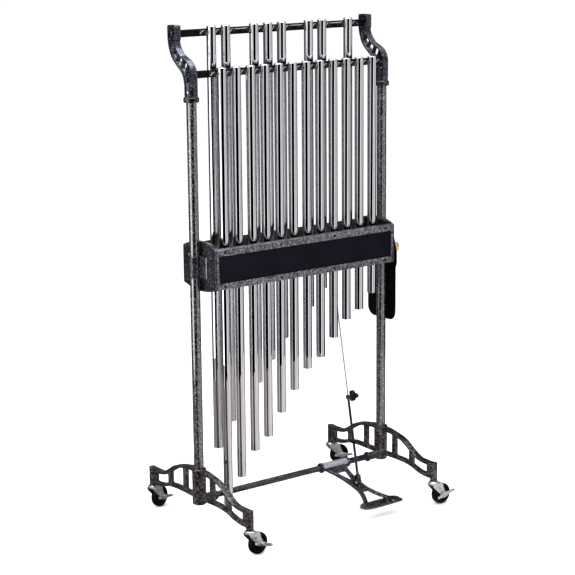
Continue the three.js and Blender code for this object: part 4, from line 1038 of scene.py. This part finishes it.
def rod_lower():
    s = Shape()
    # clevis: two ears with round ends and a neck
    ear = rounded([(-6.5, 26), (-6.5, 0), (-4.6, -4.6), (0, -6.5), (4.6, -4.6), (6.5, 0), (6.5, 26)], {1: 3, 2: 4, 3: 4, 4: 4, 5: 3}, 3)
    for x0, x1 in ((-8.5, -4.5), (4.5, 8.5)):
        s.add(plate(ear, x0, x1, "x", [ring(3.2, 0, 0, 20)], 0.5, 2))
    s.add(rbox(-8.5, 8.5, -6.5, 6.5, 12, 27, 1.2, 3))
    s.add(lathe(rounded([(0, 24), (6.2, 24), (6.2, 31), (4.75, 32.5), (4.75, 301), (8.5, 301), (8.5, 315), (4.2, 315.3), (3.3, 315), (3.3, 112), (0, 112)], {2: 0.8, 5: 1.0, 6: 1.2}, 3), 36))
    s.add(lathe(rounded([(4.7, 141), (6.4, 141), (6.4, 149), (4.7, 149)], {1: 0.8, 2: 0.8}, 3), 32, True), None, 2)
    s.add(lathe(rounded([(0, 6), (5.5, 6), (5.5, 13), (3.2, 13.2), (0, 13.2)], {2: 0.6}, 3), 28), move(0, 0, 308) @ AXIS_X)
    # pivot pin: head on one end, nut on the other
    s.add(lathe(rounded([(0, -10.6), (3.0, -10.6), (3.0, 10.6), (0, 10.6)], {1: 0.3, 2: 0.3}, 2), 24), AXIS_X, 1)
    s.add(lathe(rounded([(3.1, -11.4), (5.4, -11.4), (5.4, -8.7), (3.1, -8.7)], {1: 0.7, 2: 0.4}, 2), 28, True), AXIS_X, 1)
    s.add(lathe(rounded([(3.1, 8.7), (5.4, 8.7), (5.4, 11.4), (3.1, 11.4)], {1: 0.4, 2: 0.7}, 2), 28, True), AXIS_X, 1)
    o = Shape()
    o.v, o.f, o.k = [tuple(ROD @ Vector(p)) for p in s.v], s.f, s.k
    return o


piece("pull_tube", rod_lower(), [ROD_BLACK, STEEL, RUBBER], "pedal_rod", "lower_rod_tube")
line = smooth_line([(0, 0, 120), (0, 0, 300), (0, 0, 500), (0, 0, 700), (0, 0, 806)], 60)[:-1] + smooth_line([(0, 0, 806), (0, 0, 811.5), (1.1, 0, 815.0), (4.2, 0, ROD_LEN), (14, 0, ROD_LEN)], 1.2)
piece("pull_rod", Shape().add(tube(line, 2.5, 18), ROD), BRIGHT_ZINC, "pedal_rod", "upper_rod", 50)


def knob():
    n = 72
    lobes = [((16.3 - 5.2 * math.cos(3 * t)) * math.cos(t), 308 + (16.3 - 5.2 * math.cos(3 * t)) * math.sin(t)) for t in (2 * math.pi * i / n for i in range(n))]
    s = Shape().add(plate(lobes, 17.5, 31.5, "x", (), 2.8, 4))
    s.add(lathe(rounded([(0, 14.6), (7.4, 14.6), (8.6, 18.5), (0, 18.5)], {1: 0.6}, 2), 36), move(0, 0, 308) @ AXIS_X)
    s.add(lathe(rounded([(0, 30.8), (6, 30.8), (6, 31.9), (4.4, 32.1), (0, 32.1)], {2: 0.3}, 2), 32), move(0, 0, 308) @ AXIS_X)
    s.add(lathe([(0, 8), (2.4, 8), (2.4, 15.5), (0, 15.5)], 20), move(0, 0, 308) @ AXIS_X, 1)
    o = Shape()
    o.v, o.f, o.k = [tuple(ROD @ Vector(p)) for p in s.v], s.f, s.k
    return o


piece("clamp_knob_grip", knob(), [PLASTIC, STEEL], "clamp_knob", "rod_knob")

# ---------------------------------------------------------- pouch and mallet


POUCH_MID, POUCH_HALF, POUCH_LOW, POUCH_TOP, POUCH_R = 27.5, 76.5, 628.0, 821.0, 34.0


def pouch_outline(inset=0.0, n=8):
    """Edge of the back panel in Y and Z: round at the foot, shouldered and slanted above the pocket."""
    pts = []
    r = POUCH_R - inset
    for cy, a0 in ((POUCH_MID - POUCH_HALF + POUCH_R, 180), (POUCH_MID + POUCH_HALF - POUCH_R, 270)):
        pts += [(cy + r * math.cos(math.radians(a0 + 90 * i / n)), POUCH_LOW + POUCH_R + r * math.sin(math.radians(a0 + 90 * i / n))) for i in range(n + 1)]
    up = [(104, 740), (104, 824), (108, 842), (108, 884), (90, 955), (72, 984), (48, 992), (6, 992), (-16, 982), (-33, 955), (-55, 884), (-55, 842), (-49, 824), (-49, 740)]
    up = [(y + (-inset if y > POUCH_MID else inset), min(z, 992 - inset)) for y, z in up]
    return pts + rounded(up, {1: 10, 2: 10, 3: 22, 4: 40, 5: 14, 6: 14, 7: 14, 8: 14, 9: 40, 10: 22, 11: 10, 12: 10}, 4)


def pad(outer, x_back, x_front, bulge):
    """A padded panel: its faces swell away from a thin edge."""
    ys, zs = [q[0] for q in outer], [q[1] for q in outer]
    cy, cz = (min(ys) + max(ys)) / 2, (min(zs) + max(zs)) / 2
    rings = (1.0, 0.985, 0.955, 0.90, 0.80, 0.62, 0.35)
    v, f = [], []
    n = len(outer)
    for face, x in ((0, x_back), (1, x_front)):
        for t in rings:
            for y, z in outer:
                yy, zz = cy + (y - cy) * t, cz + (z - cz) * t
                lift = bulge * (1 - t ** 8) * (1 + 0.2 * math.sin(zz / 37.0) * math.cos(yy / 29.0))
                v.append((x + (lift if face else -lift * 0.15), yy, zz))
        v.append((x + (bulge if face else -bulge * 0.15), cy, cz))
    m = len(rings) * n + 1
    for face in (0, 1):
        b = face * m
        for i in range(len(rings) - 1):
            for j in range(n):
                k = (j + 1) % n
                f.append((b + i * n + j, b + i * n + k, b + (i + 1) * n + k, b + (i + 1) * n + j))
        for j in range(n):
            f.append((b + (len(rings) - 1) * n + j, b + (len(rings) - 1) * n + (j + 1) % n, b + m - 1))
    for j in range(n):
        f.append((j, (j + 1) % n, m + (j + 1) % n, m + j))
    return v, f


def pocket_section(z, shrink, n=56):
    """The pocket at one height: flat against the back panel, swelling to the front between its two seams."""
    d = z - POUCH_LOW
    hw = POUCH_HALF if d >= POUCH_R else POUCH_HALF - POUCH_R + math.sqrt(max(POUCH_R ** 2 - (POUCH_R - d) ** 2, 0.0))
    hw = max(hw - shrink, 3.0)
    full = min(1.0, math.sqrt(max(z - 622.5, 0.5) / 26.0))
    full *= 1.0 + 0.012 * math.sin(z / 23.0)
    pts = []
    for i in range(n):
        a = 2 * math.pi * i / n
        ca, sa = math.cos(a), math.sin(a)
        y = POUCH_MID + hw * math.copysign(abs(ca) ** 0.9, ca)
        t = (y - POUCH_MID) / POUCH_HALF
        edge = abs(sa) ** 0.4
        if sa > 0:
            fold = 0.55 * math.sin(y / 12.0 + z / 33.0) * math.sin(z / 47.0 + 0.6) * (1 - t * t)
            x = 430.6 + (1.6 + max(26.4 * full * (1 - t * t) - shrink, 0.8)) * edge + fold
        else:
            x = 430.6 - (1.5 if shrink <= 1.6 else -1.2) * edge
        pts.append((x, y, z))
    return pts


def pocket():
    n = 56
    heights = [628.3, 629.2, 631.5, 635.5, 641, 648, 657, 668, 682, 698, 715, 732, 749, 766, 782, 797, 808, 815, 819, 820.6]
    v, f = [], []
    for z in heights:
        v += pocket_section(z, 0.0, n)
    inner = [z for z in heights if z > 635]
    for z in inner[::-1]:
        v += pocket_section(z, 3.0, n)
    total = len(heights) + len(inner)
    for i in range(total - 1):
        for j in range(n):
            k = (j + 1) % n
            f.append((i * n + j, i * n + k, (i + 1) * n + k, (i + 1) * n + j))
    v.append((439.0, POUCH_MID, 628.1))
    v.append((440.0, POUCH_MID, 633.5))
    a, b = len(v) - 2, len(v) - 1
    for j in range(n):
        k = (j + 1) % n
        f.append((k, j, a))
        f.append(((total - 1) * n + j, (total - 1) * n + k, b))
    return v, f


def soft_mesh(part, name):
    o = helper(Shape().add(part), name)
    outward(o.data)
    m = o.modifiers.new("fine", "SUBSURF")
    m.levels = m.render_levels = 1
    return baked(o)


pouch_pocket = piece("pouch_pocket", soft_mesh(pocket(), "pocket_raw"), CLOTH, "frame", "mallet_pouch", 180)
back_pad = piece("pouch_back", soft_mesh(pad(pouch_outline(0.4), 428.9, 430.9, 0.9), "back_raw"), CLOTH, "frame", sharp=180)

# bindings: a rolled tape round the back panel and along the pocket's mouth, and the row of stitches below the mouth
s = Shape()
loop = [(430.3, y, z) for y, z in pouch_outline(0.9)]
s.add(tube(smooth_line(loop, 6, True) + [loop[0]], 1.8, 10))
mouth = pocket_section(820.2, 1.5)
s.add(tube(smooth_line(mouth, 6, True) + [mouth[0]], 2.0, 10))
piece("pouch_binding", s, CLOTH, "frame", sharp=60)
s = Shape()
run = [(x + 0.35, y, z) for x, y, z in pocket_section(812.0, 0.0) if x > 437]
run = smooth_line(sorted(run, key=lambda q: q[1]), 3.2)
for a, b in zip(run[::2], run[1::2]):
    s.add(tube([a, tuple((Vector(a) + Vector(b)) / 2 + Vector((0.25, 0, 0))), b], 0.42, 6))
piece("pouch_stitches", s, PLASTIC, "frame", sharp=60)

HEAD = (452.0, 12.4, 894.0)
RAW = rawhide(tuple(PLACE @ Vector(HEAD)))
prof = rounded([(0, -37.4), (5.5, -37.2), (6.2, -37.9), (16.5, -37.6), (19, -34.5), (19, 34.5), (16.5, 37.6), (6.2, 37.9), (5.5, 37.2), (0, 37.4)], {3: 1.4, 4: 1.4, 5: 1.4, 6: 1.4}, 3)
rows = []
for (r0, z0), (r1, z1) in zip(prof, prof[1:]):
    rows.append((r0, z0))
    if abs(z1 - z0) > 30:
        rows += [(r0 - (0.35 if j % 2 else 0.0), z0 + (z1 - z0) * j / 8) for j in range(1, 8)]
rows.append(prof[-1])
s = Shape().add(lathe(rows, 48), move(*HEAD) @ AXIS_Y)
piece("mallet_head", s, RAW, "loose_mallet", "mallet", 40)
hx = HEAD[0] - 4.0
grip = lathe(rounded([(0, 649.8), (5.1, 650.2), (5.3, 652), (5.3, 700), (4.7, 780), (4.5, 850), (4.6, 915.6), (0, 916)], {1: 1.0, 6: 1.2}, 3), 28)
piece("mallet_handle", Shape().add(grip, move(hx, HEAD[1], 0)), WOOD, "loose_mallet", sharp=50)

# ------------------------------------------------------------ studio, camera

floor_mat = Mat("pale_floor", Roughness=0.9)
floor_mat.b.inputs["Specular IOR Level"].default_value = 0.0
floor_mat.set(Base_Color=floor_mat.ramp(floor_mat.noise(3.0, 3.0), [(0.3, (0.93, 0.93, 0.93)), (0.7, (0.96, 0.96, 0.96))]))
me = bpy.data.meshes.new("floor")
me.from_pydata([(-60, -60, 0), (60, -60, 0), (60, 60, 0), (-60, 60, 0)], [], [(0, 1, 2, 3)])
me.materials.append(floor_mat.m)
floor = bpy.data.objects.new("floor", me)
bpy.context.scene.collection.objects.link(floor)


def around(t, stops, slant):
    """Colour by bearing round the object, from (bearing, colour) stops."""
    co = t.nodes.new("ShaderNodeTexCoord")
    sep = t.nodes.new("ShaderNodeSeparateXYZ")
    t.links.new(co.outputs["Object"], sep.inputs[0])
    neg = t.nodes.new("ShaderNodeMath")
    neg.operation = "MULTIPLY"
    neg.inputs[1].default_value = -1
    t.links.new(sep.outputs[1], neg.inputs[0])
    arc = t.nodes.new("ShaderNodeMath")
    arc.operation = "ARCTAN2"
    t.links.new(sep.outputs[0], arc.inputs[0])
    t.links.new(neg.outputs[0], arc.inputs[1])
    turn = t.nodes.new("ShaderNodeMath")
    turn.operation = "MULTIPLY_ADD"
    turn.inputs[1].default_value = 1 / (2 * math.pi)
    t.links.new(arc.outputs[0], turn.inputs[0])
    lean = t.nodes.new("ShaderNodeMath")
    lean.operation = "MULTIPLY_ADD"
    lean.inputs[1].default_value = slant / 360
    lean.inputs[2].default_value = 0.5
    t.links.new(sep.outputs[2], lean.inputs[0])
    t.links.new(lean.outputs[0], turn.inputs[2])
    ramp = t.nodes.new("ShaderNodeValToRGB")
    el = ramp.color_ramp.elements
    while len(el) < len(stops):
        el.new(1.0)
    for q, (bearing, level) in zip(el, stops):
        q.position = bearing / 360 + 0.5
        q.color = (*level, 1) if isinstance(level, tuple) else (level, level, level * 1.02, 1)
    t.links.new(turn.outputs[0], ramp.inputs[0])
    return ramp.outputs[0]


def only_reflected(o):
    o.visible_camera = o.visible_diffuse = o.visible_shadow = o.visible_transmission = o.visible_volume_scatter = False


def glow(name):
    m = bpy.data.materials.new(name)
    m.use_nodes = True
    t = m.node_tree
    t.nodes.clear()
    out = t.nodes.new("ShaderNodeOutputMaterial")
    e = t.nodes.new("ShaderNodeEmission")
    t.links.new(e.outputs[0], out.inputs[0])
    return m, t, e


def screen(name, radius, z0, z1, stops, n=96, slant=0.0, part=None, level=1.0):
    """A tall ring of paper and black cloth round the set, seen only in reflections."""
    verts, faces = [], []
    rows = 8
    for i in range(rows + 1):
        z = z0 + (z1 - z0) * i / rows
        for j in range(n):
            a = 2 * math.pi * j / n if part is None else math.radians(part[0] + (part[1] - part[0]) * j / (n - 1))
            verts.append((radius * math.sin(a), -radius * math.cos(a), z))
    for i in range(rows):
        for j in range(n if part is None else n - 1):
            k = (j + 1) % n
            faces.append((i * n + j, i * n + k, (i + 1) * n + k, (i + 1) * n + j))
    me = bpy.data.meshes.new(name)
    me.from_pydata(verts, [], faces)
    o = bpy.data.objects.new(name, me)
    bpy.context.scene.collection.objects.link(o)
    m, t, e = glow(name)
    if part is None:
        t.links.new(around(t, stops, slant), e.inputs[0])
    e.inputs[1].default_value = level
    me.materials.append(m)
    only_reflected(o)


# bearings are degrees from -Y towards +X; the photograph's camera stands near -36
LAV = lambda v: (v * 0.95, v * 0.94, v * 1.15)
screen("reflected_screens", 2.12, 0.0, 2.9, [
    (-180, LAV(0.08)), (-150, LAV(0.04)), (-141, LAV(0.16)), (-132, LAV(0.03)), (-112, LAV(0.07)), (-99, LAV(0.03)), (-95, 0.2), (-92, 1.0), (-85, 1.05), (-82, 0.0), (-22, 0.0), (-19, 1.05), (-9, 1.10),
    (-4, 0.42), (8, 0.40), (12, 0.30), (18, 0.46), (24, 0.70), (38, 0.68), (46, 0.60), (50, 0.10), (54, 0.003), (110, 0.003), (116, LAV(0.08)), (132, LAV(0.13)), (150, LAV(0.17)), (180, LAV(0.08))], slant=-17.0)
screen("reflected_key", 1.96, 0.15, 2.6, [(-180, 0.0)], slant=0.0, part=(-109, -79), level=2.4)

me = bpy.data.meshes.new("reflected_ground")
n = 96
me.from_pydata([(0, 0, 0.003)] + [(2.14 * math.cos(2 * math.pi * i / n), 2.14 * math.sin(2 * math.pi * i / n), 0.003) for i in range(n)], [], [(0, 1 + i, 1 + (i + 1) % n) for i in range(n)])
ground = bpy.data.objects.new("reflected_ground", me)
bpy.context.scene.collection.objects.link(ground)
gm, gt, ge = glow("reflected_ground")
WARM = lambda v: (v, v * 0.94, v * 0.91)
base = around(gt, [(-180, WARM(0.20)), (-110, WARM(0.26)), (-72, WARM(0.22)), (-64, WARM(0.03)), (-44, WARM(0.03)), (-36, WARM(0.75)), (20, WARM(0.86)), (62, WARM(0.80)), (78, WARM(0.24)), (180, WARM(0.20))], 0.0)
gn = gt.nodes.new("ShaderNodeTexNoise")
gn.inputs["Scale"].default_value, gn.inputs["Detail"].default_value = 3.0, 4.0
gr = gt.nodes.new("ShaderNodeValToRGB")
gr.color_ramp.elements[0].position, gr.color_ramp.elements[0].color = 0.35, (0.72, 0.72, 0.72, 1)
gr.color_ramp.elements[1].position, gr.color_ramp.elements[1].color = 0.65, (1.12, 1.12, 1.12, 1)
gx = gt.nodes.new("ShaderNodeMix")
gx.data_type, gx.blend_type = "RGBA", "MULTIPLY"
gx.inputs[0].default_value = 1.0
gt.links.new(gn.outputs[0], gr.inputs[0])
gt.links.new(base, gx.inputs[6])
gt.links.new(gr.outputs[0], gx.inputs[7])
gt.links.new(gx.outputs[2], ge.inputs[0])
me.materials.append(gm)
only_reflected(ground)

world = bpy.data.worlds.new("studio")
bpy.context.scene.world = world
world.use_nodes = True
world.node_tree.nodes["Background"].inputs[0].default_value = (0.97, 0.98, 1.0, 1)
world.node_tree.nodes["Background"].inputs[1].default_value = 1.12


def softbox(name, bearing, distance, z, size, power, colour=(1, 1, 1), aim=(0, 0, 0.9)):
    a = math.radians(bearing)
    d = bpy.data.lights.new(name, "AREA")
    d.shape, d.size, d.size_y, d.energy, d.color = "RECTANGLE", size[0], size[1], power, colour
    o = bpy.data.objects.new(name, d)
    bpy.context.scene.collection.objects.link(o)
    o.location = (distance * math.sin(a), -distance * math.cos(a), z)
    o.rotation_mode = "QUATERNION"
    o.rotation_quaternion = (Vector(aim) - o.location).to_track_quat("-Z", "Y")
    return o


key = softbox("key", -100, 1.95, 1.4, (1.0, 2.3), 45)
key.visible_camera = key.visible_glossy = False
softbox("fill", 40, 3.4, 1.8, (1.6, 2.6), 18)
softbox("front", -30, 4.5, 3.6, (2.6, 1.6), 70)
softbox("top", 0, 0.01, 4.2, (3.0, 2.4), 150, (0.80, 0.88, 1.0))

cam_data = bpy.data.cameras.new("camera")
cam = bpy.data.objects.new("camera", cam_data)
bpy.context.scene.collection.objects.link(cam)
bpy.context.scene.camera = cam
YAW, PITCH_DOWN, ROLL = 0.6424, 0.2185, -0.0089
cam_data.sensor_width, cam_data.lens = 36.0, 1734.2 / 575 * 36
cam_data.clip_end = 300
ahead = Vector((math.sin(YAW) * math.cos(PITCH_DOWN), math.cos(YAW) * math.cos(PITCH_DOWN), -math.sin(PITCH_DOWN)))
right = Vector((math.cos(YAW), -math.sin(YAW), 0))
up = right.cross(ahead)
right2 = right * math.cos(ROLL) + up * math.sin(ROLL)
up2 = up * math.cos(ROLL) - right * math.sin(ROLL)
turn = Matrix((right2, up2, -ahead)).transposed().to_4x4()
cam.matrix_world = Matrix.Translation((OX - 3.5413, OY - 4.7068, 2.1113)) @ turn

scene = bpy.context.scene
scene.view_settings.view_transform = "Standard"
scene.view_settings.look = "None"
scene.view_settings.exposure = 0.0
